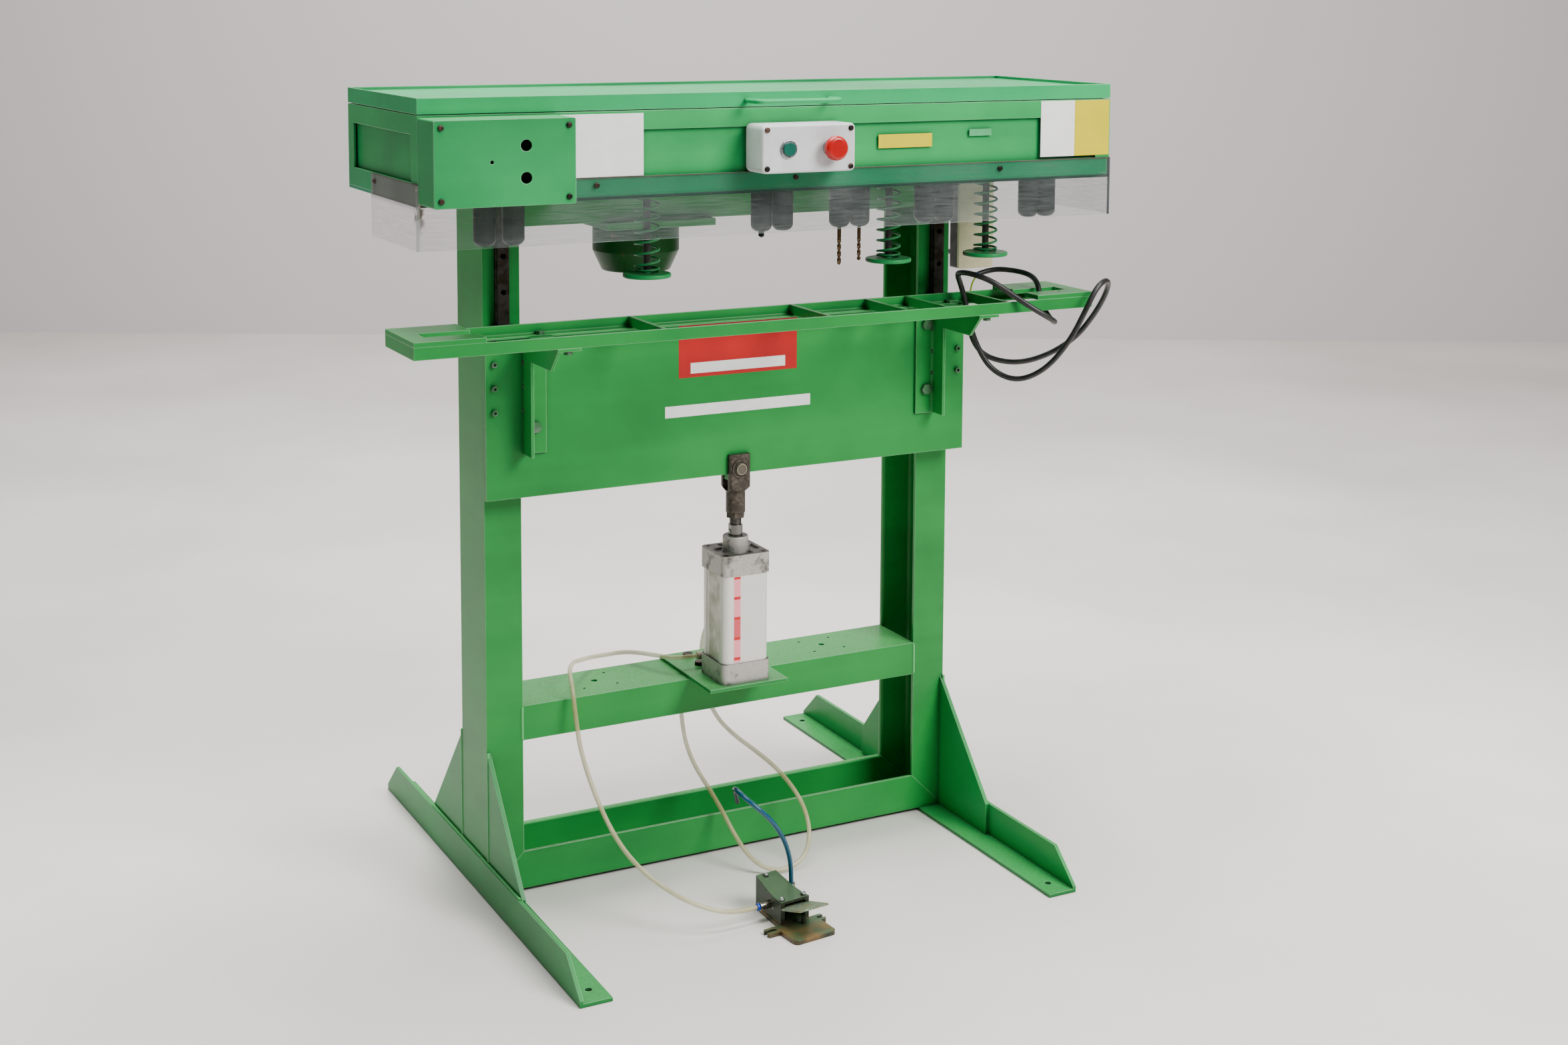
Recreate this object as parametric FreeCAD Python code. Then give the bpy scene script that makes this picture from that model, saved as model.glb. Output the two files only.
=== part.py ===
import FreeCAD, Part
import math
import os

# Multi-spindle boring machine: a steel portal with a drilling head on top,
# a table that an air cylinder lifts along two guide rails, and a foot valve.
# +X is the operator's right, +Y is the back, +Z is up, in millimetres.
# The origin lies on the floor, midway between the four ends of the feet.

# Portal of rolled channel
frame_half_width = 450.0
frame_top = 1208.0
channel_depth = 125.0
channel_flange = 65.0
channel_web = 6.0
channel_flange_wall = 9.5
channel_root_radius = 8.0
channel_toe_radius = 4.5

# Feet of angle, with gussets
foot_length = 980.0
foot_leg_width = 54.0
foot_leg_height = 63.0
foot_wall = 6.0
foot_nose_height = 11.0
foot_nose_length = 57.0
anchor_hole_diameter = 12.0
anchor_hole_inset = 40.0
gusset_height = 192.0
gusset_reach = 163.5
gusset_wall = 7.0

# Shelf that carries the cylinder
shelf_height = 60.0
shelf_hole_spacing = 454.0
shelf_hole_offset = 6.0
shelf_hole_diameter = 12.0
shelf_ring_hole_diameter = 6.0
shelf_ring_pitch = 62.0

# Guide rails and their blocks
rail_spacing = 838.0
rail_width = 20.0
rail_height = 17.5
rail_length = 480.0
rail_drop = 20.0
rail_hole_pitch = 60.0
rail_bore_diameter = 9.5
rail_bore_depth = 8.5
rail_hole_diameter = 6.0
rail_waist_depth = 2.0
rail_waist_shares = (0.30, 0.42, 0.62, 0.74)
block_width = 63.0
block_length = 77.5
block_stack_height = 30.0
block_flange_wall = 10.0
block_body_width = 44.0
block_underside = 4.6
block_cap_length = 10.5
block_cap_step = 1.0
block_spacing = 80.0
block_offset = 44.0
guide_clearance = 0.3
block_bolt_spacing = 53.0
block_bolt_pitch = 40.0

# Carriage plate
carriage_width = 920.0
carriage_height = 288.0
carriage_rise = 15.0
carriage_wall = 10.0
lug_width = 36.0
lug_drop = 11.0
doubler_width = 80.0
doubler_height = 64.0
doubler_wall = 9.0

# Screws and bolts
cap_screw_head_diameter = 10.0
cap_screw_head_height = 6.0
cap_screw_shank_diameter = 6.0
cap_screw_socket_width = 5.0
hex_bolt_width = 17.0
hex_bolt_head_height = 6.5
hex_bolt_shank_diameter = 10.0
bar_bolt_width = 13.0
bar_bolt_head_height = 5.5
bar_bolt_shank_diameter = 8.0
bar_bolt_share = 0.6
hex_nut_height = 6.5
panel_screw_head_diameter = 9.0
panel_screw_head_height = 3.0
screw_grip = 8.0
hole_play = 0.2
head_notch_play = 1.0

# Brackets under the table
bracket_leg = 40.0
bracket_wall = 5.0
bracket_root_radius = 5.0
bracket_outer_span = 792.0
bracket_height = 199.0
bracket_bolt_drops = (155.0, 36.0)
support_slope = 32.0

# Table frame and end plates
table_width = 1260.0
table_front = -262.0
table_rear = -115.0
table_daylight = 238.0
table_bar_leg = 20.0
table_bar_wall = 3.0
table_bar_radius = 3.0
cross_bar_wall = 6.0
cross_bar_places = (-210.0, 94.0, 245.0, 327.0, 452.0)
end_plate_wall = 8.0
end_plate_length = 117.0
end_plate_strip = 30.0
end_slot_front = -220.0
end_slot_rear = -182.0
end_hole_diameter = 8.0
end_hole_inset = 52.0
end_hole_offset = 31.0

# Air cylinder, bore 80
cylinder_axis_y = -93.0
cylinder_cap_width = 93.0
cylinder_cap_height = 36.0
cylinder_length = 228.0
cylinder_corner_radius = 10.0
cylinder_bore = 80.0
tube_width = 89.0
tube_corner_radius = 13.0
tube_groove_width = 50.0
tube_groove_depth = 1.6
neck_diameter = 45.0
neck_height = 25.0
neck_foot_radius = 3.0
cap_pocket_depth = 4.0
cap_pocket_width = 79.0
cap_corner_land = 29.0
tie_screw_pitch = 72.0
tie_screw_head_diameter = 13.0
tie_screw_head_height = 8.0
tie_screw_socket_width = 6.0
tie_screw_shank_diameter = 8.0
tie_screw_length = 20.0
rod_diameter = 25.0
rod_reach = 44.0
rod_across_flats = 22.0
rod_flat_height = 9.0
rod_thread_diameter = 20.0
rod_thread_show = 13.0
piston_height = 26.0
piston_gap = 1.5
sliding_clearance = 0.05
fork_width = 40.0
fork_gap = 20.0
fork_pin_diameter = 20.0
fork_pin_rise = 10.0
fork_barrel_diameter = 34.0
fork_length = 105.0
fork_top_margin = 25.0
fork_square_height = 68.0
fork_gap_depth = 40.0
fork_turned_diameter = 52.0
pin_overhang = 6.0
pin_ring_diameter = 33.0
pin_ring_wall = 2.0
lock_nut_width = 30.0
lock_nut_height = 9.0
mount_plate_width = 150.0
mount_plate_front = -150.0
mount_plate_rear = 64.0
mount_plate_wall = 6.0
mount_bolt_x = 32.0
mount_bolt_places = (-15.0, 36.0)

# Drilling head
head_width = 1265.0
head_front = -300.0
head_rear = 65.0
head_plate_wall = 5.0
head_angle_leg = 30.0
head_angle_wall = 4.0
head_wall_rise = 138.0
head_panel_wall = 2.0
head_panel_recess = 2.5

# Lid of the head
lid_gap = 1.5
lid_rim_height = 24.5
lid_rim_wall = 3.0
lid_sheet_wall = 2.0
lid_sheet_recess = 5.0
lid_handle_diameter = 8.0
lid_handle_span = 150.0
lid_handle_reach = 50.0
lid_handle_centre = -10.0
lid_handle_radius = 10.0
hinge_shares = (-0.34, 0.34)
hinge_length = 80.0
hinge_knuckle_diameter = 9.0
hinge_pin_diameter = 4.0
hinge_leaf_wall = 2.0
hinge_leaf_height = 26.0
hinge_offset = 5.0
hinge_knuckle_gap = 0.4

# Clear guard
guard_wall = 3.0
guard_drop = 66.0
guard_rise = 35.0
guard_rear = -70.0
guard_bend_radius = 6.0
guard_screw_rise = 23.0
guard_screw_shares = (-0.2732, 0.0034, 0.3167)
guard_side_screw_inset = 20.0

# Relay box on the left of the head
relay_box_width = 222.5
relay_box_depth = 78.0
relay_box_height = 130.0
relay_box_wall = 2.0
relay_box_corner = 3.0
relay_cover_wall = 3.0
relay_screw_inset = 11.0
relay_hole_diameter = 18.0
relay_hole_inset = 79.0
relay_hole_rises = (41.5, 90.0)
relay_pilot_hole_diameter = 6.0
relay_pilot_inset = 133.0
relay_pilot_rise = 66.5
relay_guard_play = 0.3

# Control box with two buttons
control_width = 170.0
control_rise = 35.0
control_height = 78.0
control_depth = 57.0
control_lid_share = 0.38
control_corner_radius = 9.0
control_edge_radius = 4.0
control_pad_inset = 20.0
control_screw_inset_x = 9.0
control_screw_inset_z = 8.0
start_x = -38.0
stop_x = 40.0
button_rise = 39.0
bezel_diameter = 29.0
bezel_height = 4.0
start_cap_diameter = 21.5
start_cap_height = 5.0
start_travel = 4.0
button_stem_diameter = 12.0
button_stem_length = 18.0
button_play = 0.1
stop_bezel_diameter = 30.0
stop_neck_diameter = 22.0
stop_neck_height = 12.0
stop_head_diameter = 40.0
stop_head_height = 13.0
stop_travel = 6.0

# Motor
motor_x = -148.0
motor_diameter = 150.0
motor_drop = 77.0
motor_body_height = 79.0
motor_chamfer_height = 35.0
motor_base_diameter = 118.0
motor_edge_radius = 4.0
motor_plate_wall = 12.0
motor_plate_left = -233.0
motor_plate_right = -33.0
motor_plate_depth = 160.0
motor_spigot_diameter = 94.0
motor_spigot_height = 50.0
motor_shaft_diameter = 19.0
shaft_hole_play = 3.0

# Belt drive inside the head
pulley_diameter = 50.0
pulley_height = 20.0
pulley_flange_diameter = 56.0
pulley_flange_wall = 2.0
pulley_rise = 60.0
belt_height = 15.0
belt_wall = 4.0
belt_clearance = 0.3
shaft_end_overrun = 6.0

# Spindles, in pairs
spindle_y = -188.0
pair_centre_shares = (-0.3676, 0.0158, 0.134, 0.2688, 0.4399)
pair_pitches = (48.0, 40.0, 39.0, 40.0, 37.0)
spindle_diameter = 17.0
chuck_diameter = 36.0
chuck_gap = 3.0
chuck_height = 75.0
chuck_nose_radius = 12.0
chuck_sleeve_share = 0.62
chuck_waist_depth = 1.2
chuck_bore_diameter = 12.0
chuck_bore_depth = 30.0
unit_depth = 60.0
unit_end_margin = 26.0
unit_height = 46.0
unit_corner_radius = 8.0
unit_spigot_diameter = 26.0
unit_roof = 8.0
drill_diameters = (7.0, 6.5)
drill_reaches = (66.0, 60.0)
drill_point_height = 3.0
stub_diameter = 10.0
stub_reach = 11.0

# Pressure feet
pad_shares = (-0.166, 0.196, 0.3542)
pad_diameter = 80.0
pad_wall = 7.0
pad_drop = 143.0
pad_edge_radius = 2.5
pad_rod_diameter = 12.0
pad_rod_rise = 54.0
pad_collar_diameter = 20.0
pad_collar_height = 6.0
bush_diameter = 18.0
bush_flange_diameter = 26.0
bush_flange_wall = 3.0
bush_height = 36.0
spring_outer_diameter = 43.0
spring_wire = 4.0
spring_closed_pitch = 4.8
spring_closed_turns = 1
spring_active_turns = 7
spring_seat_gap = 0.3

# Switch box behind the head, on the right
switch_box_left = 525.0
switch_box_width = 76.0
switch_box_front = 20.0
switch_box_depth = 32.0
switch_box_drop = 36.0
switch_box_height = 162.0
switch_box_lid_wall = 6.0
switch_box_radius = 4.0
strap_width = 30.0
strap_wall = 4.0
gland_x = 548.0
gland_rise = 26.0
gland_diameter = 22.0
gland_height = 16.0
gland_nut_height = 8.0

# Foot valve
valve_x = -34.0
valve_y = -380.0
valve_turn = 6.0
valve_base_wall = 7.0
valve_base_half_width = 40.0
valve_base_front = -70.0
valve_base_shoulder = -24.0
valve_base_rear = 84.0
valve_base_radius = 8.0
valve_lug_left = -62.0
valve_lug_right = 52.0
valve_lug_rear = -4.0
valve_lug_radius = 4.0
valve_base_waist = 30.0
valve_slot_width = 7.0
valve_slot_length = 17.0
valve_right_slot_share = 0.6
valve_front = -6.0
valve_rear = 82.0
valve_front_half_width = 28.0
valve_rear_half_width = 20.0
valve_front_height = 45.0
valve_rear_height = 58.0
valve_sag_radius = 180.0
valve_sag_place = 26.0
valve_cover_wall = 5.0
valve_pocket_depth = 40.0
valve_pocket_floor = 4.0
valve_screw_inset = 7.0
valve_port_height = 27.0
valve_left_port = 35.0
valve_right_port = 50.0
fitting_diameter = 13.0
fitting_length = 13.0
collet_diameter = 14.0
collet_length = 6.0
supply_elbow_reach = 7.0
supply_elbow_rise = 12.0
pedal_wall = 3.5
pedal_half_width = 28.0
pedal_front = -62.0
pedal_front_height = 51.0
pedal_hinge_place = 22.0
pedal_hinge_height = 25.0
pedal_pin_diameter = 5.0
pedal_barrel_diameter = 9.0
pedal_side_play = 0.5
pedal_face_gap = 2.0
pedal_stop_diameter = 8.0
pedal_stop_height = 14.0
pedal_stop_place = -20.0
pedal_stop_side = 8.0

# Air fittings on the cylinder
port_height = 22.0
port_stub_diameter = 17.0
port_stub_length = 18.5
elbow_diameter = 15.0
lower_elbow_length = 38.0
upper_elbow_length = 19.0
port_top_inset = 18.0

# Hoses and mains lead, with their routes chosen by hand
hose_diameter = 8.0
cable_diameter = 10.0
corner_share = 0.45
cylinder_hose_route = (
    (-80.7, -349.7, 27.0), (-120.0, -353.8, 27.0), (-165.0, -352.0, 38.0), (-208.0, -338.0, 58.0),
    (-242.0, -310.0, 80.0), (-262.0, -268.0, 98.0), (-274.0, -218.0, 120.0), (-280.0, -168.0, 150.0),
    (-288.0, -126.0, 196.0), (-296.0, -98.0, 250.0), (-300.0, -88.0, 306.0), (-300.0, -74.0, 352.0),
    (-290.0, -34.0, 368.0), (-266.0, 6.0, 366.0), (-236.0, 40.0, 356.0), (-204.0, 74.0, 346.0),
    (-170.0, 92.0, 340.0), (-142.0, 76.0, 346.0), (-124.0, 40.0, 352.0), (-106.0, 4.0, 355.0),
    (-82.0, -28.0, 355.0), (-44.0, -28.0, 355.0))
loop_hose_route = (
    (0.0, -28.0, 518.0), (0.0, -28.0, 484.0), (4.0, -10.0, 442.0), (10.0, 22.0, 402.0),
    (14.0, 60.0, 372.0), (18.0, 84.0, 334.0), (22.0, 88.0, 286.0), (28.0, 84.0, 236.0),
    (38.0, 66.0, 192.0), (54.0, 30.0, 164.0), (70.0, -14.0, 148.0), (86.0, -60.0, 132.0),
    (100.0, -106.0, 110.0), (108.0, -146.0, 82.0), (106.0, -176.0, 46.0), (88.0, -190.0, 16.0),
    (50.0, -198.0, 6.0), (16.0, -190.0, 12.0), (0.0, -164.0, 36.0), (-6.0, -126.0, 66.0),
    (-10.0, -84.0, 96.0), (-14.0, -36.0, 118.0), (-18.0, 14.0, 136.0), (-21.0, 56.0, 162.0),
    (-22.0, 80.0, 200.0), (-23.0, 86.0, 244.0), (-24.0, 86.0, 286.0))
supply_hose_route = (
    (-9.5, -327.1, 45.0), (-9.5, -327.1, 74.0), (-22.0, -330.0, 106.0), (-40.0, -334.0, 136.0),
    (-60.0, -336.0, 164.0), (-80.0, -332.0, 190.0), (-92.0, -313.0, 211.0), (-91.0, -286.0, 220.0),
    (-82.0, -264.0, 208.0), (-77.0, -254.0, 185.0))

mains_root_route = (
    (548.0, 68.0, 1036.0), (548.0, 104.0, 1036.0), (544.0, 140.0, 1008.0), (536.0, 148.0, 962.0),
    (526.0, 136.0, 912.0), (514.0, 106.0, 868.0), (505.0, 68.0, 848.0), (500.0, 36.0, 862.0),
    (500.0, 28.0, 896.0))
mains_lead_route = (
    (500.0, 28.0, 896.0), (500.0, 20.0, 930.0), (498.0, -4.0, 956.0), (494.0, -40.0, 954.0),
    (492.0, -68.0, 926.0), (496.0, -84.0, 886.0), (516.0, -100.0, 852.0), (560.0, -130.0, 838.0),
    (608.0, -160.0, 854.0), (646.0, -188.0, 894.0), (668.0, -214.0, 944.0), (675.0, -238.0, 982.0),
    (668.0, -260.0, 1010.0), (648.0, -277.0, 1020.0), (622.0, -287.0, 1010.0), (602.0, -287.0, 974.0),
    (580.0, -272.0, 920.0), (550.0, -242.0, 868.0), (512.0, -208.0, 844.0), (478.0, -174.0, 860.0),
    (458.0, -153.0, 898.0), (444.0, -145.0, 938.0), (437.0, -144.0, 974.0), (427.0, -143.0, 1006.0),
    (414.0, -153.0, 1024.0), (401.0, -173.0, 1034.0), (399.0, -199.0, 1038.0), (407.0, -223.0, 1036.0),
    (424.0, -241.0, 1028.0), (443.0, -253.0, 1015.0), (462.0, -268.0, 999.0), (484.0, -286.0, 981.0),
    (512.0, -294.0, 964.0), (536.0, -284.0, 952.0), (549.0, -258.0, 948.0), (551.0, -229.0, 962.0),
    (553.0, -209.0, 986.0), (561.0, -190.0, 1010.0), (568.0, -152.0, 1020.0), (550.0, -116.0, 1024.0),
    (522.0, -94.0, 1024.0), (496.0, -92.0, 1016.0))

cut_overrun = 2.0

# Places that follow from the sizes above
frame_bottom = foot_wall
frame_inner = frame_half_width - channel_flange
foot_outer = frame_half_width + foot_wall
foot_inner = foot_outer - foot_leg_width
rail_base_y = -channel_depth / 2
rail_centre_height = frame_top - rail_drop - rail_length / 2
rail_bottom = rail_centre_height - rail_length / 2
block_centre_height = rail_centre_height - block_offset
table_seat = frame_top - table_daylight
carriage_top = table_seat + carriage_rise
carriage_bottom = carriage_top - carriage_height
bracket_bottom = table_seat - bracket_height
bracket_bolt_heights = [table_seat - drop for drop in bracket_bolt_drops]
block_front_y = rail_base_y - block_stack_height
carriage_front_y = block_front_y - carriage_wall
table_top = table_seat + table_bar_leg
cylinder_rear_y = cylinder_axis_y + cylinder_cap_width / 2
fork_pin_height = carriage_bottom + fork_pin_rise
fork_top = fork_pin_height + fork_top_margin
fork_bottom = fork_top - fork_length
rod_top = fork_bottom - lock_nut_height - rod_thread_show
cylinder_top = rod_top - rod_reach
cylinder_bottom = cylinder_top - cylinder_length
shelf_top = cylinder_bottom - mount_plate_wall
thread_top = fork_pin_height - fork_gap_depth
head_floor = frame_top + head_plate_wall
head_wall_top = frame_top + head_wall_rise
guard_bottom = frame_top - guard_drop
guard_top = frame_top + guard_rise
guard_screw_height = frame_top + guard_screw_rise
lid_bottom = head_wall_top + lid_gap
lid_top = lid_bottom + lid_rim_height
hinge_axis_y = head_rear + hinge_offset
hinge_axis_z = head_wall_top + lid_gap / 2
motor_body_top = frame_top - motor_drop
motor_body_bottom = motor_body_top - motor_body_height
motor_chamfer_top = motor_body_bottom + motor_chamfer_height
unit_top = head_floor + unit_height
pulley_bottom = frame_top + pulley_rise
pulley_top = pulley_bottom + pulley_height
chuck_top = frame_top - chuck_gap
chuck_bottom = chuck_top - chuck_height
drill_tips = [chuck_bottom - reach for reach in drill_reaches]
stub_tip = chuck_bottom - stub_reach
pad_bottom = frame_top - pad_drop
pad_rod_top = frame_top + pad_rod_rise
bush_top = frame_top + bush_height
pad_top = pad_bottom + pad_wall
control_front = head_front - control_depth
relay_front = head_front - relay_box_depth
relay_left = -head_width / 2
relay_right = relay_left + relay_box_width
relay_box_bottom = head_floor
relay_box_top = relay_box_bottom + relay_box_height
relay_hole_heights = [relay_box_bottom + rise for rise in relay_hole_rises]
relay_pilot_height = relay_box_bottom + relay_pilot_rise
control_bottom = frame_top + control_rise
control_top = control_bottom + control_height
button_height = control_bottom + button_rise
hinge_places = [share * head_width for share in hinge_shares]
guard_screw_places = [share * head_width for share in guard_screw_shares]
pad_places = [share * head_width for share in pad_shares]
switch_box_centre = switch_box_left + switch_box_width / 2
switch_box_top = frame_top - switch_box_drop
switch_box_bottom = switch_box_top - switch_box_height
gland_z = switch_box_bottom + gland_rise
switch_box_rear = switch_box_front + switch_box_depth


def vector(x, y, z):
    return FreeCAD.Vector(x, y, z)


def span_box(x_span, y_span, z_span):
    """Box between two values along each axis."""
    low = vector(min(x_span), min(y_span), min(z_span))
    high = vector(max(x_span), max(y_span), max(z_span))
    size = high - low
    return Part.makeBox(size.x, size.y, size.z, low)


def bar(start, end, diameter):
    """Round bar from one point to another."""
    along = end - start
    return Part.makeCylinder(diameter / 2, along.Length, start, along)


def tangent_arc(start, corner, end):
    """Arc from start to end whose tangents meet in the corner, at equal distances."""
    chord_middle = (start + end) / 2
    toward = corner - chord_middle
    half_chord = (end - start).Length / 2
    rise = half_chord * math.tan(math.atan2(toward.Length, half_chord) / 2)
    middle = chord_middle + toward.normalize() * rise
    return Part.Arc(start, middle, end).toShape()


def on_plane(plane, level, a, b):
    """Point whose two outline values lie in the named plane."""
    if plane == "xy":
        return vector(a, b, level)
    if plane == "xz":
        return vector(a, level, b)
    return vector(level, a, b)


def outline(plane, level, corners):
    """Closed wire through corners (a, b) or (a, b, radius)."""
    count = len(corners)
    points = [on_plane(plane, level, corner[0], corner[1]) for corner in corners]
    bends = []
    for index, corner in enumerate(corners):
        here = points[index]
        radius = corner[2] if len(corner) > 2 else 0
        if radius == 0:
            bends.append((here, here, here))
            continue
        back = (points[index - 1] - here).normalize()
        ahead = (points[(index + 1) % count] - here).normalize()
        reach = radius / math.tan(back.getAngle(ahead) / 2)
        bends.append((here + back * reach, here, here + ahead * reach))
    edges = []
    for index in range(count):
        leaving = bends[index - 1][2]
        entering, corner, exit_point = bends[index]
        if (entering - leaving).Length > Part.Precision.confusion():
            edges.append(Part.LineSegment(leaving, entering).toShape())
        if (exit_point - entering).Length > Part.Precision.confusion():
            edges.append(tangent_arc(entering, corner, exit_point))
    return Part.Wire(Part.__sortEdges__(edges))


def prism(plane, corners, start, end):
    """Outline in a plane, drawn out along the third axis from start to end."""
    face = Part.Face(outline(plane, start, corners))
    direction = on_plane(plane, end - start, 0, 0)
    return face.extrude(direction)


def turned(x, y, corners):
    """Solid of revolution about an upright axis through (x, y); corners are (radius, z)."""
    face = Part.Face(outline("xz", 0, corners))
    solid = face.revolve(vector(0, 0, 0), vector(0, 0, 1), 360)
    solid.translate(vector(x, y, 0))
    return solid


def hexagon(x, y, across_flats, bottom, top):
    """Upright hexagonal bar."""
    corner_radius = across_flats / math.sqrt(3)
    corners = []
    for index in range(6):
        angle = math.radians(60 * index)
        corners.append((x + corner_radius * math.cos(angle), y + corner_radius * math.sin(angle)))
    return prism("xy", corners, bottom, top)


def laid_toward_front(shape, x, y, z):
    """Turn a shape built upward from the origin so that its top points to -Y, then place it."""
    turned_shape = shape.copy()
    turned_shape.rotate(vector(0, 0, 0), vector(1, 0, 0), 90)
    turned_shape.translate(vector(x, y, z))
    return turned_shape


def mirrored_x(shape):
    return shape.mirror(vector(0, 0, 0), vector(1, 0, 0))


def group(solids):
    """Separate solids that share one node."""
    flat = []
    for shape in solids:
        flat.extend(shape.Solids)
    return Part.makeCompound(flat)


def fused(shapes):
    """One welded or moulded piece."""
    whole = shapes[0].fuse(shapes[1:])
    return whole.removeSplitter()


def cap_screw(head_diameter, head_height, socket_width, shank_diameter, shank_length):
    """Socket-head screw that stands on the origin, with its shank downward."""
    head = Part.makeCylinder(head_diameter / 2, head_height)
    socket = hexagon(0, 0, socket_width, head_height / 2, head_height + cut_overrun)
    shank = bar(vector(0, 0, 0), vector(0, 0, -shank_length), shank_diameter)
    return fused([head.cut(socket), shank])


def hex_bolt(across_flats, head_height, shank_diameter, shank_length):
    """Hexagon bolt that stands on the origin, with its shank downward."""
    head = hexagon(0, 0, across_flats, 0, head_height)
    shank = bar(vector(0, 0, 0), vector(0, 0, -shank_length), shank_diameter)
    return fused([head, shank])


def panel_screw():
    """Low round screw that stands on the origin."""
    radius = panel_screw_head_diameter / 2
    head = turned(0, 0, [
        (0, 0), (radius, 0), (radius, panel_screw_head_height, panel_screw_head_height / 2),
        (0, panel_screw_head_height)])
    return head


# Portal
def channel_corners(depth, flange, web, flange_wall):
    """Channel outline: first value runs from the web's outer face to the toes."""
    half = depth / 2
    return [
        (0, -half), (flange, -half), (flange, -half + flange_wall, channel_toe_radius),
        (web, -half + flange_wall, channel_root_radius),
        (web, half - flange_wall, channel_root_radius),
        (flange, half - flange_wall, channel_toe_radius), (flange, half), (0, half)]


def upright(side):
    corners = []
    for corner in channel_corners(channel_depth, channel_flange, channel_web, channel_flange_wall):
        corners.append((side * (frame_half_width - corner[0]),) + corner[1:])
    length = prism("xy", corners, frame_bottom, frame_top)
    outer = side * frame_half_width
    inner = side * frame_inner
    mitre = prism("xz", [
        (outer, frame_bottom), (outer, frame_top), (inner, frame_top - channel_flange),
        (inner, frame_bottom + channel_flange)], -channel_depth / 2, channel_depth / 2)
    return length.common(mitre)


def cross_member(web_height, direction):
    """Mitred channel across the portal; direction is +1 where its toes point up."""
    corners = []
    for corner in channel_corners(channel_depth, channel_flange, channel_web, channel_flange_wall):
        corners.append((corner[1], web_height + direction * corner[0]) + corner[2:])
    length = prism("yz", corners, -frame_half_width, frame_half_width)
    toes = web_height + direction * channel_flange
    mitre = prism("xz", [
        (-frame_half_width, web_height), (frame_half_width, web_height),
        (frame_inner, toes), (-frame_inner, toes)], -channel_depth / 2, channel_depth / 2)
    return length.common(mitre)


def top_channel():
    beam = cross_member(frame_top, -1)
    hole = bar(
        vector(motor_x, 0, frame_top - channel_flange), vector(motor_x, 0, frame_top + cut_overrun),
        motor_shaft_diameter + 2 * shaft_hole_play)
    return beam.cut(hole)


def cylinder_shelf():
    corners = []
    for corner in channel_corners(channel_depth, shelf_height, channel_web, channel_flange_wall):
        corners.append((corner[1], shelf_top - corner[0]) + corner[2:])
    shelf = prism("yz", corners, -frame_inner, frame_inner)
    tools = []
    low = shelf_top - channel_web - cut_overrun
    high = shelf_top + cut_overrun
    for side in (-1, 1):
        x = side * shelf_hole_spacing / 2
        tools.append(bar(vector(x, shelf_hole_offset, low), vector(x, shelf_hole_offset, high),
                         shelf_hole_diameter))
        for across in (-1, 1):
            for along in (-1, 1):
                hole_x = x + across * shelf_ring_pitch / 2
                hole_y = shelf_hole_offset + along * shelf_ring_pitch / 2
                tools.append(bar(vector(hole_x, hole_y, low), vector(hole_x, hole_y, high),
                                 shelf_ring_hole_diameter))
    for x, y in mount_bolt_points():
        tools.append(bar(vector(x, y, low), vector(x, y, high), hex_bolt_shank_diameter + hole_play))
    return shelf.cut(tools)


def foot(side):
    """Angle with its upright leg outside, its ends cut down to a nose, and two gussets."""
    outer = side * foot_outer
    wall_inner = side * frame_half_width
    corners = [
        (side * foot_inner, 0), (outer, 0), (outer, foot_leg_height), (wall_inner, foot_leg_height),
        (wall_inner, foot_wall), (side * foot_inner, foot_wall)]
    half = foot_length / 2
    angle = prism("xz", corners, -half, half)
    side_view = prism("yz", [
        (-half, 0), (half, 0), (half, foot_nose_height), (half - foot_nose_length, foot_leg_height),
        (foot_nose_length - half, foot_leg_height), (-half, foot_nose_height)],
        side * (foot_inner - cut_overrun), side * (foot_outer + cut_overrun))
    angle = angle.common(side_view)
    hole_x = side * (foot_inner + frame_half_width) / 2
    for end in (-1, 1):
        y = end * (half - anchor_hole_inset)
        angle = angle.cut(bar(vector(hole_x, y, -cut_overrun), vector(hole_x, y, foot_wall + cut_overrun),
                              anchor_hole_diameter))
    gussets = []
    for end in (-1, 1):
        near = end * channel_depth / 2
        far = near + end * gusset_reach
        gussets.append(prism("yz", [
            (near, foot_wall), (far, foot_wall), (far, foot_leg_height),
            (near, foot_leg_height + gusset_height)],
            side * (frame_half_width - gusset_wall), side * frame_half_width))
    return group([angle] + gussets)


# Guide rails and blocks
def rail_point(side, across, height):
    """Plan position on a rail: across its width, and its height above the flange."""
    return (side * rail_spacing / 2 + across, rail_base_y - height)


def guide_rails():
    rails = []
    half = rail_width / 2
    low, waist_low, waist_high, high = [share * rail_height for share in rail_waist_shares]
    right = [(half, 0), (half, low), (half - rail_waist_depth, waist_low),
             (half - rail_waist_depth, waist_high), (half, high), (half, rail_height)]
    left = [(-across, height) for across, height in reversed(right)]
    for side in (-1, 1):
        corners = [rail_point(side, across, height) for across, height in right + left]
        rail = prism("xy", corners, rail_bottom, rail_bottom + rail_length)
        count = int(rail_length // rail_hole_pitch)
        first = rail_centre_height - (count - 1) * rail_hole_pitch / 2
        tools = []
        for index in range(count):
            x, y = rail_point(side, 0, 0)
            z = first + index * rail_hole_pitch
            top = rail_base_y - rail_height
            tools.append(bar(vector(x, y + cut_overrun, z), vector(x, top, z), rail_hole_diameter))
            tools.append(bar(vector(x, top + rail_bore_depth, z), vector(x, top - cut_overrun, z),
                             rail_bore_diameter))
        rails.append(rail.cut(tools))
    return group(rails)


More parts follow.
